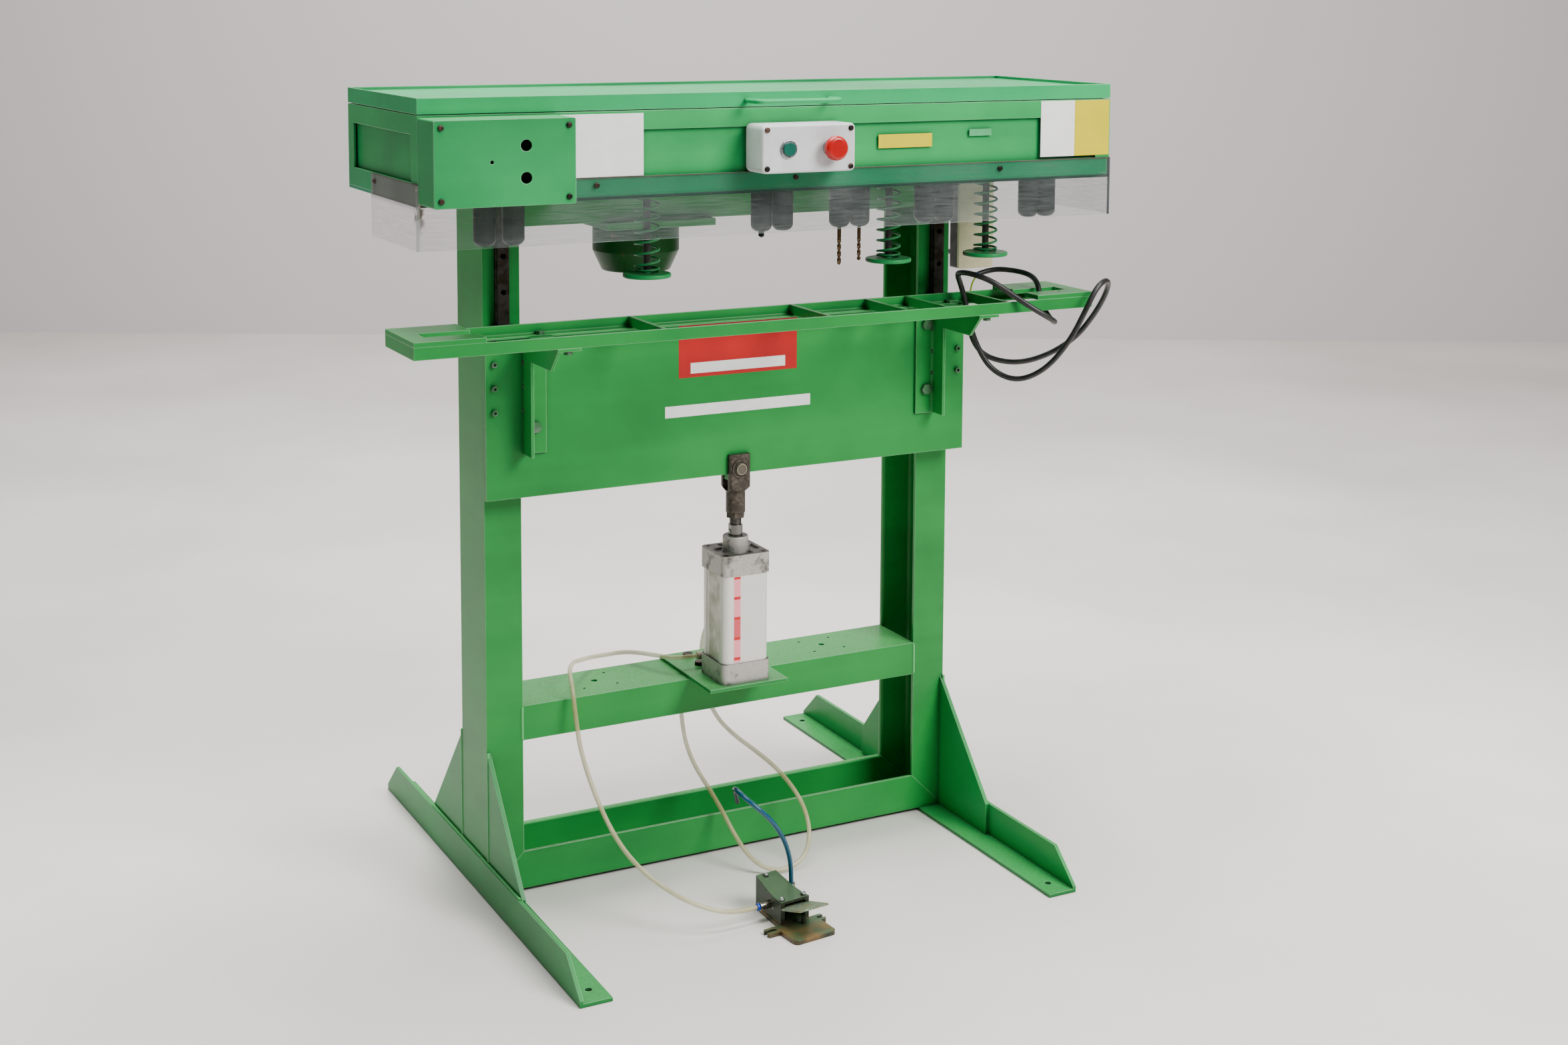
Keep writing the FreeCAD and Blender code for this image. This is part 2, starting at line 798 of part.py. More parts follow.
def block_outline(side, step):
    """Block section round its rail; step draws the outside in, for the end caps."""
    half_top = block_width / 2 - step
    half_body = block_body_width / 2 - step
    half_slot = rail_width / 2 + guide_clearance
    top = block_stack_height - step
    flange = block_stack_height - block_flange_wall
    slot = rail_height + guide_clearance
    right = [(half_slot, slot), (half_slot, block_underside), (half_body, block_underside),
             (half_body, flange), (half_top, flange), (half_top, top)]
    left = [(-across, height) for across, height in reversed(right)]
    return [rail_point(side, across, height) for across, height in right + left]


def guide_blocks():
    solids = []
    body_half = block_length / 2 - block_cap_length
    for side in (-1, 1):
        for level in (-1, 1):
            centre = block_centre_height + level * block_spacing / 2
            body = prism("xy", block_outline(side, 0), centre - body_half, centre + body_half)
            tools = []
            for x, z in block_bolt_points(side, centre):
                rear = block_front_y + block_flange_wall + cut_overrun
                tools.append(bar(vector(x, block_front_y - cut_overrun, z), vector(x, rear, z),
                                 cap_screw_shank_diameter + hole_play))
            solids.append(body.cut(tools))
            for end in (-1, 1):
                start = centre + end * body_half
                solids.append(prism("xy", block_outline(side, block_cap_step), start,
                                    start + end * block_cap_length))
    return group(solids)


def block_bolt_points(side, centre):
    points = []
    for across in (-1, 1):
        for along in (-1, 1):
            points.append((side * rail_spacing / 2 + across * block_bolt_spacing / 2,
                           centre + along * block_bolt_pitch / 2))
    return points


def all_block_bolt_points():
    points = []
    for side in (-1, 1):
        for level in (-1, 1):
            points.extend(block_bolt_points(side, block_centre_height + level * block_spacing / 2))
    return points


# Carriage plate with the lug that hangs from the fork pin
def carriage_plate():
    half = carriage_width / 2
    half_lug = lug_width / 2
    lug_bottom = carriage_bottom - lug_drop
    plate = prism("xz", [
        (-half, carriage_bottom), (-half_lug, carriage_bottom), (-half_lug, lug_bottom),
        (half_lug, lug_bottom), (half_lug, carriage_bottom), (half, carriage_bottom),
        (half, carriage_top), (-half, carriage_top)], carriage_front_y, block_front_y)
    half_doubler = doubler_width / 2
    doubler_top = lug_bottom + doubler_height
    doubler = prism("xz", [
        (-half_lug, lug_bottom), (half_lug, lug_bottom), (half_lug, carriage_bottom),
        (half_doubler, carriage_bottom), (half_doubler, doubler_top), (-half_doubler, doubler_top),
        (-half_doubler, carriage_bottom), (-half_lug, carriage_bottom)],
        block_front_y, block_front_y + doubler_wall)
    tools = [bar(vector(0, carriage_front_y - cut_overrun, fork_pin_height),
                 vector(0, block_front_y + doubler_wall + cut_overrun, fork_pin_height),
                 fork_pin_diameter + hole_play)]
    for x, z in all_block_bolt_points():
        tools.append(bar(vector(x, carriage_front_y - cut_overrun, z),
                         vector(x, block_front_y + cut_overrun, z),
                         cap_screw_shank_diameter + hole_play))
    for x, z in bracket_bolt_points():
        tools.append(bar(vector(x, carriage_front_y - cut_overrun, z),
                         vector(x, block_front_y + cut_overrun, z),
                         hex_bolt_shank_diameter + hole_play))
    return fused([plate, doubler]).cut(tools)


def carriage_bolts():
    """Socket screws into the guide blocks, and hexagon bolts of the brackets and bars."""
    solids = []
    socket_screw = cap_screw(cap_screw_head_diameter, cap_screw_head_height, cap_screw_socket_width,
                             cap_screw_shank_diameter, carriage_wall + screw_grip)
    for x, z in all_block_bolt_points():
        solids.append(laid_toward_front(socket_screw, x, carriage_front_y, z))
    bracket_bolt = hex_bolt(hex_bolt_width, hex_bolt_head_height, hex_bolt_shank_diameter,
                            bracket_wall + carriage_wall)
    for x, z in bracket_bolt_points():
        solids.append(laid_toward_front(bracket_bolt, x, carriage_front_y - bracket_wall, z))
    shank_length = table_bar_wall + bracket_wall + hex_nut_height
    bar_bolt = hex_bolt(bar_bolt_width, bar_bolt_head_height, bar_bolt_shank_diameter, shank_length)
    for x, y in bar_bolt_points():
        bolt = bar_bolt.copy()
        bolt.translate(vector(x, y, table_seat + table_bar_wall))
        nut_top = table_seat - bracket_wall
        nut = hexagon(x, y, bar_bolt_width, nut_top - hex_nut_height, nut_top)
        hole = bar(vector(x, y, nut_top - hex_nut_height - cut_overrun),
                   vector(x, y, nut_top + cut_overrun), bar_bolt_shank_diameter + hole_play)
        solids.extend([bolt, nut.cut(hole)])
    return group(solids)


# Brackets of angle that carry the table
def bracket_left_faces():
    """Left face of the forward legs: outermost on the left, level with it on the right."""
    return (-bracket_outer_span / 2, bracket_outer_span / 2 - bracket_wall)


def bracket_bolt_points():
    x = bracket_outer_span / 2 - bracket_leg / 2
    return [(side * x, z) for side in (-1, 1) for z in bracket_bolt_heights]


def bar_bolt_points():
    inset = table_bar_leg * bar_bolt_share
    points = []
    for left in bracket_left_faces():
        x = left + (bracket_leg + bracket_wall) / 2
        points.append((x, table_front + inset))
        points.append((x, table_rear - inset))
    return points


def table_brackets():
    brackets = []
    legs = (1, -1)
    for left, toward in zip(bracket_left_faces(), legs):
        outer = left if toward > 0 else left + bracket_wall
        front = carriage_front_y
        upright_angle = prism("xy", [
            (outer, front), (outer + toward * bracket_leg, front),
            (outer + toward * bracket_leg, front - bracket_wall),
            (outer + toward * bracket_wall, front - bracket_wall, bracket_root_radius),
            (outer + toward * bracket_wall, front - bracket_leg), (outer, front - bracket_leg)],
            bracket_bottom, table_seat)
        right = left + bracket_wall
        far = left + bracket_leg
        low = table_seat - bracket_leg
        support = prism("xz", [
            (left, low), (right, low), (right, table_seat - bracket_wall, bracket_root_radius),
            (far, table_seat - bracket_wall), (far, table_seat), (left, table_seat)],
            table_front, front)
        nose = prism("yz", [
            (table_front - cut_overrun, low - cut_overrun), (table_front + support_slope, low - cut_overrun),
            (table_front + support_slope, low), (table_front, table_seat - bracket_wall),
            (table_front - cut_overrun, table_seat - bracket_wall)],
            left - cut_overrun, right + cut_overrun)
        bracket = fused([upright_angle, support.cut(nose)])
        tools = []
        for x, z in bracket_bolt_points():
            tools.append(bar(vector(x, front - bracket_wall - cut_overrun, z),
                             vector(x, front + cut_overrun, z), hex_bolt_shank_diameter + hole_play))
        for x, z in all_block_bolt_points():
            tools.append(bar(vector(x, front - cap_screw_head_height - head_notch_play, z),
                             vector(x, front + cut_overrun, z), cap_screw_head_diameter + head_notch_play))
        for x, y in bar_bolt_points():
            tools.append(bar(vector(x, y, table_seat - bracket_wall - cut_overrun),
                             vector(x, y, table_seat + cut_overrun),
                             bar_bolt_shank_diameter + hole_play))
        brackets.append(bracket.cut(tools))
    return group(brackets)


# Table
def bar_corners(edge, inward):
    """Small angle on its flat leg: the upright leg at edge, the flat one inward."""
    return [
        (edge, table_seat), (edge + inward * table_bar_leg, table_seat),
        (edge + inward * table_bar_leg, table_seat + table_bar_wall),
        (edge + inward * table_bar_wall, table_seat + table_bar_wall, table_bar_radius),
        (edge + inward * table_bar_wall, table_top), (edge, table_top)]


def table_frame():
    half = table_width / 2
    pieces = [prism("yz", bar_corners(table_front, 1), -half, half),
              prism("yz", bar_corners(table_rear, -1), -half, half)]
    for side in (-1, 1):
        pieces.append(prism("xz", bar_corners(side * half, -side), table_front, table_rear))
    for x in cross_bar_places:
        pieces.append(span_box((x - cross_bar_wall / 2, x + cross_bar_wall / 2),
                               (table_front + table_bar_wall, table_rear - table_bar_wall),
                               (table_seat + table_bar_wall, table_top)))
    tools = []
    for x, y in bar_bolt_points():
        tools.append(bar(vector(x, y, table_seat - cut_overrun),
                         vector(x, y, table_seat + table_bar_wall + cut_overrun),
                         bar_bolt_shank_diameter + hole_play))
    return fused(pieces).cut(tools)


def table_end_plates():
    """Slotted plate on each end of the table, open toward the middle."""
    half = table_width / 2
    closed = half - end_plate_strip
    tip = half - end_plate_length
    corners = [
        (tip, table_front), (half, table_front), (half, table_rear), (tip, table_rear),
        (tip, end_slot_rear), (closed, end_slot_rear), (closed, end_slot_front), (tip, end_slot_front)]
    right = prism("xy", corners, table_top, table_top + end_plate_wall)
    left = mirrored_x(right)
    x = half - end_hole_inset
    y = table_front + end_hole_offset
    hole = bar(vector(x, y, table_top - cut_overrun),
               vector(x, y, table_top + end_plate_wall + cut_overrun), end_hole_diameter)
    return group([left, right.cut(hole)])


# Air cylinder
def square_corners(width, radius):
    half = width / 2
    return [(-half, cylinder_axis_y - half, radius), (half, cylinder_axis_y - half, radius),
            (half, cylinder_axis_y + half, radius), (-half, cylinder_axis_y + half, radius)]


def tie_screw_points():
    half = tie_screw_pitch / 2
    return [(across * half, cylinder_axis_y + along * half) for across in (-1, 1) for along in (-1, 1)]


def mount_bolt_points():
    return [(side * mount_bolt_x, y) for side in (-1, 1) for y in mount_bolt_places]


def cylinder_mount_plate():
    half = mount_plate_width / 2
    plate = span_box((-half, half), (mount_plate_front, mount_plate_rear),
                     (shelf_top, cylinder_bottom))
    tools = []
    for x, y in mount_bolt_points():
        tools.append(bar(vector(x, y, shelf_top - cut_overrun), vector(x, y, cylinder_bottom + cut_overrun),
                         hex_bolt_shank_diameter + hole_play))
    return plate.cut(tools)


def cylinder_end_caps():
    cap_corners = square_corners(cylinder_cap_width, cylinder_corner_radius)
    lower = prism("xy", cap_corners, cylinder_bottom, cylinder_bottom + cylinder_cap_height)
    upper = prism("xy", cap_corners, cylinder_top - cylinder_cap_height, cylinder_top)
    pocket_half = cap_pocket_width / 2
    pocket_floor = cylinder_top - cap_pocket_depth
    span = (-pocket_half, pocket_half)
    y_span = (cylinder_axis_y - pocket_half, cylinder_axis_y + pocket_half)
    pocket = span_box(span, y_span, (pocket_floor, cylinder_top + cut_overrun))
    outer = cylinder_cap_width / 2
    inner = outer - cap_corner_land
    for across in (-1, 1):
        for along in (-1, 1):
            pocket = pocket.cut(span_box(
                (across * inner, across * outer),
                (cylinder_axis_y + along * inner, cylinder_axis_y + along * outer),
                (pocket_floor - cut_overrun, cylinder_top + 2 * cut_overrun)))
    neck = turned(0, cylinder_axis_y, [
        (0, pocket_floor - cut_overrun), (neck_diameter / 2, pocket_floor - cut_overrun),
        (neck_diameter / 2, cylinder_top + neck_height, neck_foot_radius),
        (0, cylinder_top + neck_height)])
    upper = fused([upper.cut(pocket), neck])
    tools = [bar(vector(0, cylinder_axis_y, cylinder_bottom + cylinder_cap_height),
                 vector(0, cylinder_axis_y, cylinder_top + neck_height + cut_overrun),
                 rod_diameter + 2 * sliding_clearance)]
    for x, y in tie_screw_points():
        seat = cylinder_top - tie_screw_head_height
        tools.append(bar(vector(x, y, seat), vector(x, y, cylinder_top + cut_overrun),
                         tie_screw_head_diameter + hole_play))
        tools.append(bar(vector(x, y, seat - tie_screw_length - cut_overrun), vector(x, y, seat),
                         tie_screw_shank_diameter + hole_play))
    return group([lower, upper.cut(tools)])


def cylinder_tube():
    low = cylinder_bottom + cylinder_cap_height
    high = cylinder_top - cylinder_cap_height
    tube = prism("xy", square_corners(tube_width, tube_corner_radius), low, high)
    bore = bar(vector(0, cylinder_axis_y, low - cut_overrun), vector(0, cylinder_axis_y, high + cut_overrun),
               cylinder_bore)
    tools = [bore]
    groove_half = tube_groove_width / 2
    for side in (-1, 1):
        tools.append(span_box(
            (side * (tube_width / 2 - tube_groove_depth), side * (tube_width / 2 + cut_overrun)),
            (cylinder_axis_y - groove_half, cylinder_axis_y + groove_half),
            (low - cut_overrun, high + cut_overrun)))
    return tube.cut(tools)


def cylinder_bolts():
    solids = []
    tie = cap_screw(tie_screw_head_diameter, tie_screw_head_height, tie_screw_socket_width,
                    tie_screw_shank_diameter, tie_screw_length)
    for x, y in tie_screw_points():
        screw = tie.copy()
        screw.translate(vector(x, y, cylinder_top - tie_screw_head_height))
        solids.append(screw)
    stack = mount_plate_wall + channel_web
    bolt = hex_bolt(hex_bolt_width, hex_bolt_head_height, hex_bolt_shank_diameter, stack + hex_nut_height)
    for x, y in mount_bolt_points():
        placed = bolt.copy()
        placed.translate(vector(x, y, cylinder_bottom))
        nut_top = shelf_top - channel_web
        nut = hexagon(x, y, hex_bolt_width, nut_top - hex_nut_height, nut_top)
        hole = bar(vector(x, y, nut_top - hex_nut_height - cut_overrun),
                   vector(x, y, nut_top + cut_overrun), hex_bolt_shank_diameter + hole_play)
        solids.extend([placed, nut.cut(hole)])
    return group(solids)


def piston_rod():
    """Piston and rod in one, with wrench flats below the thread."""
    piston_bottom = cylinder_bottom + cylinder_cap_height + piston_gap
    piston_radius = cylinder_bore / 2 - sliding_clearance
    rod_radius = rod_diameter / 2
    thread_radius = rod_thread_diameter / 2
    rod = turned(0, cylinder_axis_y, [
        (0, piston_bottom), (piston_radius, piston_bottom), (piston_radius, piston_bottom + piston_height),
        (rod_radius, piston_bottom + piston_height), (rod_radius, rod_top),
        (thread_radius, rod_top), (thread_radius, thread_top), (0, thread_top)])
    tools = []
    for side in (-1, 1):
        tools.append(span_box((side * rod_across_flats / 2, side * rod_diameter),
                              (cylinder_axis_y - rod_radius, cylinder_axis_y + rod_radius),
                              (rod_top - rod_flat_height, rod_top + cut_overrun)))
    return rod.cut(tools)


def rod_fork():
    """Fork head with its lock nut, pin and two spring rings."""
    half = fork_width / 2
    square_bottom = fork_top - fork_square_height
    square = span_box((-half, half), (cylinder_axis_y - half, cylinder_axis_y + half),
                      (square_bottom, fork_top))
    turned_radius = fork_turned_diameter / 2
    barrel_radius = fork_barrel_diameter / 2
    envelope = turned(0, cylinder_axis_y, [
        (0, square_bottom), (barrel_radius, square_bottom),
        (turned_radius, square_bottom + turned_radius - barrel_radius), (turned_radius, fork_top), (0, fork_top)])
    body = square.common(envelope)
    barrel = bar(vector(0, cylinder_axis_y, fork_bottom), vector(0, cylinder_axis_y, square_bottom),
                 fork_barrel_diameter)
    fork = fused([body, barrel])
    gap_half = fork_gap / 2
    gap = span_box((-half - cut_overrun, half + cut_overrun),
                   (cylinder_axis_y - gap_half, cylinder_axis_y + gap_half),
                   (fork_pin_height - fork_gap_depth, fork_top + cut_overrun))
    pin_bore = bar(vector(0, cylinder_axis_y - half - cut_overrun, fork_pin_height),
                   vector(0, cylinder_axis_y + half + cut_overrun, fork_pin_height),
                   fork_pin_diameter + hole_play)
    thread_bore = bar(vector(0, cylinder_axis_y, fork_bottom - cut_overrun),
                      vector(0, cylinder_axis_y, thread_top + cut_overrun), rod_thread_diameter + hole_play)
    fork = fork.cut([gap, pin_bore, thread_bore])
    nut = hexagon(0, cylinder_axis_y, lock_nut_width, fork_bottom - lock_nut_height, fork_bottom)
    nut = nut.cut(bar(vector(0, cylinder_axis_y, fork_bottom - lock_nut_height - cut_overrun),
                      vector(0, cylinder_axis_y, fork_bottom + cut_overrun),
                      rod_thread_diameter + hole_play))
    pin_start = vector(0, cylinder_axis_y - half - pin_overhang, fork_pin_height)
    pin_end = vector(0, cylinder_axis_y + half + pin_overhang, fork_pin_height)
    pin = bar(pin_start, pin_end, fork_pin_diameter)
    rings = []
    for end in (-1, 1):
        face = cylinder_axis_y + end * half
        ring = bar(vector(0, face, fork_pin_height),
                   vector(0, face + end * pin_ring_wall, fork_pin_height), pin_ring_diameter)
        rings.append(ring)
    pin = fused([pin] + rings)
    return group([fork, nut, pin])


# Drilling head
def pair_spindles():
    """Plan positions of the spindles: (x, drive side first, in pairs)."""
    pairs = []
    for share, pitch in zip(pair_centre_shares, pair_pitches):
        centre = share * head_width
        pairs.append((centre - pitch / 2, centre + pitch / 2))
    return pairs


def head_base_plate():
    half = head_width / 2
    plate = span_box((-half, half), (head_front, head_rear), (frame_top, head_floor))
    low = frame_top - cut_overrun
    high = head_floor + cut_overrun
    tools = [bar(vector(motor_x, 0, low), vector(motor_x, 0, high),
                 motor_shaft_diameter + 2 * shaft_hole_play)]
    for pair in pair_spindles():
        for x in pair:
            tools.append(bar(vector(x, spindle_y, low), vector(x, spindle_y, high),
                             unit_spigot_diameter + hole_play))
    for x in pad_places:
        tools.append(bar(vector(x, spindle_y, low), vector(x, spindle_y, high), bush_diameter + hole_play))
    return plate.cut(tools)


def rim(inset_outer, inset_inner, low, high):
    """Rectangular ring that follows the head's plan."""
    half = head_width / 2
    outer = span_box((inset_outer - half, half - inset_outer),
                     (head_front + inset_outer, head_rear - inset_outer), (low, high))
    inner = span_box((inset_inner - half, half - inset_inner),
                     (head_front + inset_inner, head_rear - inset_inner),
                     (low - cut_overrun, high + cut_overrun))
    return outer.cut(inner)


def head_frame():
    """Welded frame of angle with its recessed wall sheets."""
    pieces = [
        rim(0, head_angle_wall, head_floor, head_floor + head_angle_leg),
        rim(0, head_angle_leg, head_floor, head_floor + head_angle_wall),
        rim(0, head_angle_wall, head_wall_top - head_angle_leg, head_wall_top),
        rim(0, head_angle_leg, head_wall_top - head_angle_wall, head_wall_top)]
    half = head_width / 2
    for side in (-1, 1):
        for face, inward in ((head_front, 1), (head_rear, -1)):
            pieces.append(prism("xy", [
                (side * half, face), (side * (half - head_angle_leg), face),
                (side * (half - head_angle_leg), face + inward * head_angle_wall),
                (side * (half - head_angle_wall), face + inward * head_angle_wall),
                (side * (half - head_angle_wall), face + inward * head_angle_leg),
                (side * half, face + inward * head_angle_leg)], head_floor, head_wall_top))
    frame = fused(pieces)
    sheet_inset = head_angle_wall + head_panel_recess
    sheets = rim(sheet_inset, sheet_inset + head_panel_wall, head_floor + head_angle_wall,
                 head_wall_top - head_angle_wall)
    return group([frame, sheets])


def lid():
    """Shallow lid with a recessed sheet, its front handle and the moving hinge leaves."""
    shell = rim(0, lid_rim_wall, lid_bottom, lid_top)
    half = head_width / 2
    sheet_top = lid_top - lid_sheet_recess
    sheet = span_box((lid_rim_wall - half, half - lid_rim_wall),
                     (head_front + lid_rim_wall, head_rear - lid_rim_wall),
                     (sheet_top - lid_sheet_wall, sheet_top))
    pieces = [shell, sheet]
    for x in hinge_places:
        for end in (-1, 1):
            pieces.append(hinge_leaf(x, end, lid_bottom, lid_bottom + lid_rim_height, 1))
    handle_z = (lid_bottom + lid_top) / 2 - lid_handle_diameter / 4
    handle_half = lid_handle_span / 2
    left = lid_handle_centre - handle_half
    right = lid_handle_centre + handle_half
    far = head_front - lid_handle_reach + lid_handle_diameter / 2
    near = head_front
    radius = lid_handle_radius
    path = Part.Wire([
        Part.LineSegment(vector(left, near, handle_z), vector(left, far + radius, handle_z)).toShape(),
        tangent_arc(vector(left, far + radius, handle_z), vector(left, far, handle_z),
                    vector(left + radius, far, handle_z)),
        Part.LineSegment(vector(left + radius, far, handle_z), vector(right - radius, far, handle_z)).toShape(),
        tangent_arc(vector(right - radius, far, handle_z), vector(right, far, handle_z),
                    vector(right, far + radius, handle_z)),
        Part.LineSegment(vector(right, far + radius, handle_z), vector(right, near, handle_z)).toShape()])
    handle = swept(path, vector(left, near, handle_z), vector(0, -1, 0), lid_handle_diameter)
    return group([fused(pieces), handle])


def hinge_leaf(x, end, low, high, knuckles):
    """Half of a butt hinge: a leaf on the rear face and the knuckles on its side of the joint."""
    part_length = hinge_length / 3
    if knuckles:
        start = x + end * part_length / 2 + end * hinge_knuckle_gap / 2
        stop = x + end * hinge_length / 2
    else:
        start = x - part_length / 2 + hinge_knuckle_gap / 2
        stop = x + part_length / 2 - hinge_knuckle_gap / 2
    leaf = span_box((start, stop), (head_rear, head_rear + hinge_leaf_wall), (low, high))
    knuckle = bar(vector(min(start, stop), hinge_axis_y, hinge_axis_z),
                  vector(max(start, stop), hinge_axis_y, hinge_axis_z), hinge_knuckle_diameter)
    joined = fused([leaf, knuckle])
    bore = bar(vector(x - hinge_length, hinge_axis_y, hinge_axis_z),
               vector(x + hinge_length, hinge_axis_y, hinge_axis_z),
               hinge_pin_diameter + 2 * sliding_clearance)
    return joined.cut(bore)


def lid_hinges():
    """Fixed leaves on the head with the pins they hold."""
    solids = []
    for x in hinge_places:
        low = head_wall_top - hinge_leaf_height
        solids.append(hinge_leaf(x, 0, low, head_wall_top, 0))
        half = hinge_length / 2
        solids.append(bar(vector(x - half, hinge_axis_y, hinge_axis_z),
                          vector(x + half, hinge_axis_y, hinge_axis_z), hinge_pin_diameter))
    return group(solids)


def guard():
    """Clear sheet bent round the front and the two ends below the head."""
    outer = head_width / 2 + guard_wall
    inner = head_width / 2
    front = head_front - guard_wall
    corners = [
        (-outer, guard_rear), (-outer, front, guard_bend_radius), (outer, front, guard_bend_radius),
        (outer, guard_rear), (inner, guard_rear), (inner, head_front), (-inner, head_front),
        (-inner, guard_rear)]
    sheet = prism("xy", corners, guard_bottom, guard_top)
    return sheet


def cover_screws():
    """Screws of the guard, the relay box and the control box."""
    screw = panel_screw()
    solids = []
    for x in guard_screw_places:
        solids.append(laid_toward_front(screw, x, head_front - guard_wall, guard_screw_height))
    for side in (-1, 1):
        sideways = screw.copy()
        sideways.rotate(vector(0, 0, 0), vector(0, 1, 0), side * 90)
        sideways.translate(vector(side * (head_width / 2 + guard_wall),
                                  guard_rear - guard_side_screw_inset, guard_screw_height))
        solids.append(sideways)
    for x in (relay_left + relay_screw_inset, relay_right - relay_screw_inset):
        for z in (relay_box_bottom + relay_screw_inset, relay_box_top - relay_screw_inset):
            solids.append(laid_toward_front(screw, x, relay_front, z))
    half = control_width / 2 - control_screw_inset_x
    for x in (-half, half):
        for z in (control_bottom + control_screw_inset_z, control_top - control_screw_inset_z):
            solids.append(laid_toward_front(screw, x, control_front, z))
    return group(solids)


def relay_box():
    """Sheet box on the left of the head front, notched round the guard, with its front cover."""
    cover_rear = relay_front + relay_cover_wall
    outer = prism("xz", [
        (relay_left, relay_box_bottom, relay_box_corner), (relay_right, relay_box_bottom, relay_box_corner),
        (relay_right, relay_box_top, relay_box_corner), (relay_left, relay_box_top, relay_box_corner)],
        cover_rear, head_front)
    wall = relay_box_wall
    hollow = span_box((relay_left + wall, relay_right - wall), (cover_rear - cut_overrun, head_front + cut_overrun),
                      (relay_box_bottom + wall, relay_box_top - wall))
    notch = span_box((relay_left - cut_overrun, relay_right + cut_overrun),
                     (head_front - guard_wall - relay_guard_play, head_front + cut_overrun),
                     (relay_box_bottom - cut_overrun, guard_top + relay_guard_play))
    shell = outer.cut([hollow, notch])
    cover = prism("xz", [
        (relay_left, relay_box_bottom, relay_box_corner), (relay_right, relay_box_bottom, relay_box_corner),
        (relay_right, relay_box_top, relay_box_corner), (relay_left, relay_box_top, relay_box_corner)],
        relay_front, cover_rear)
    tools = []
    hole_x = relay_right - relay_hole_inset
    for z in relay_hole_heights:
        tools.append(bar(vector(hole_x, relay_front - cut_overrun, z),
                         vector(hole_x, cover_rear + cut_overrun, z), relay_hole_diameter))
    pilot_x = relay_right - relay_pilot_inset
    tools.append(bar(vector(pilot_x, relay_front - cut_overrun, relay_pilot_height),
                     vector(pilot_x, cover_rear + cut_overrun, relay_pilot_height),
                     relay_pilot_hole_diameter))
    return group([shell, cover.cut(tools)])


def control_outline(inset):
    half = control_width / 2 - inset
    radius = control_corner_radius - inset
    return [(-half, control_bottom + inset, radius), (half, control_bottom + inset, radius),
            (half, control_top - inset, radius), (-half, control_top - inset, radius)]


def control_box():
    """Moulded box for the two buttons: base, and lid with rounded front edges."""
    seam = control_front + control_depth * control_lid_share
    base = prism("xz", control_outline(0), seam, head_front)
    pad_rear = head_front + head_angle_wall + head_panel_recess
    pad = span_box((control_pad_inset - control_width / 2, control_width / 2 - control_pad_inset),
                   (head_front, pad_rear),
                   (control_bottom + control_screw_inset_z, control_top - control_pad_inset))
    base = fused([base, pad])
    cover = prism("xz", control_outline(0), control_front, seam)
    front_edges = []
    for edge in cover.Edges:
        box = edge.BoundBox
        if box.YMax < control_front + control_edge_radius / 2:
            front_edges.append(edge)
    cover = cover.makeFillet(control_edge_radius, front_edges)
    tools = []
    stem_end = control_front + button_stem_length + start_travel + stop_travel
    stem_bore = button_stem_diameter + 2 * button_play
    for x, pocket_diameter, pocket_depth in (
            (start_x, start_cap_diameter, start_travel + button_play),
            (stop_x, stop_neck_diameter, stop_travel + button_play)):
        front = vector(x, control_front - cut_overrun, button_height)
        tools.append(bar(front, vector(x, stem_end, button_height), stem_bore))
        tools.append(bar(front, vector(x, control_front + pocket_depth, button_height),
                         pocket_diameter + 2 * button_play))
    return group([base.cut(tools), cover.cut(tools)])


def bezel(outer, inner):
    ring = turned(0, 0, [
        (inner / 2, 0), (outer / 2, 0), (outer / 2, bezel_height, bezel_height / 4),
        (inner / 2, bezel_height)])
    return ring


def button_bezels():
    start_ring = bezel(bezel_diameter, start_cap_diameter + 2 * button_play)
    stop_ring = bezel(stop_bezel_diameter, stop_neck_diameter + 2 * button_play)
    return group([laid_toward_front(start_ring, start_x, control_front, button_height),
                  laid_toward_front(stop_ring, stop_x, control_front, button_height)])


def start_button():
    radius = start_cap_diameter / 2
    top = bezel_height + start_cap_height / 2
    stem = button_stem_diameter / 2
    shape = turned(0, 0, [
        (0, -button_stem_length), (stem, -button_stem_length), (stem, top - start_cap_height),
        (radius, top - start_cap_height), (radius, top, button_play * start_cap_height), (0, top)])
    return laid_toward_front(shape, start_x, control_front, button_height)


def stop_button():
    neck = stop_neck_diameter / 2
    head = stop_head_diameter / 2
    stem = button_stem_diameter / 2
    top = stop_neck_height + stop_head_height
    shape = turned(0, 0, [
        (0, -button_stem_length), (stem, -button_stem_length), (stem, button_play),
        (neck, button_play), (neck, stop_neck_height), (head, stop_neck_height, stop_head_height / 6),
        (head, top, stop_head_height / 2), (0, top)])
    return laid_toward_front(shape, stop_x, control_front, button_height)


# Motor and belt drive
def motor_mount_plate():
    half = motor_plate_depth / 2
    plate_top = motor_body_top + motor_plate_wall
    plate = span_box((motor_plate_left, motor_plate_right), (-half, half), (motor_body_top, plate_top))
    return plate.cut(bar(vector(motor_x, 0, motor_body_top - cut_overrun),
                         vector(motor_x, 0, plate_top + cut_overrun), motor_spigot_diameter + hole_play))


def motor_body():
    radius = motor_diameter / 2
    base = motor_base_diameter / 2
    spigot = motor_spigot_diameter / 2
    spigot_top = motor_body_top + motor_spigot_height
    shell = turned(motor_x, 0, [
        (0, motor_body_bottom), (base, motor_body_bottom, motor_edge_radius),
        (radius, motor_chamfer_top, motor_edge_radius), (radius, motor_body_top),
        (spigot, motor_body_top), (spigot, spigot_top), (0, spigot_top)])
    bore = bar(vector(motor_x, 0, motor_chamfer_top), vector(motor_x, 0, spigot_top + cut_overrun),
               motor_shaft_diameter + 2 * sliding_clearance)
    return shell.cut(bore)


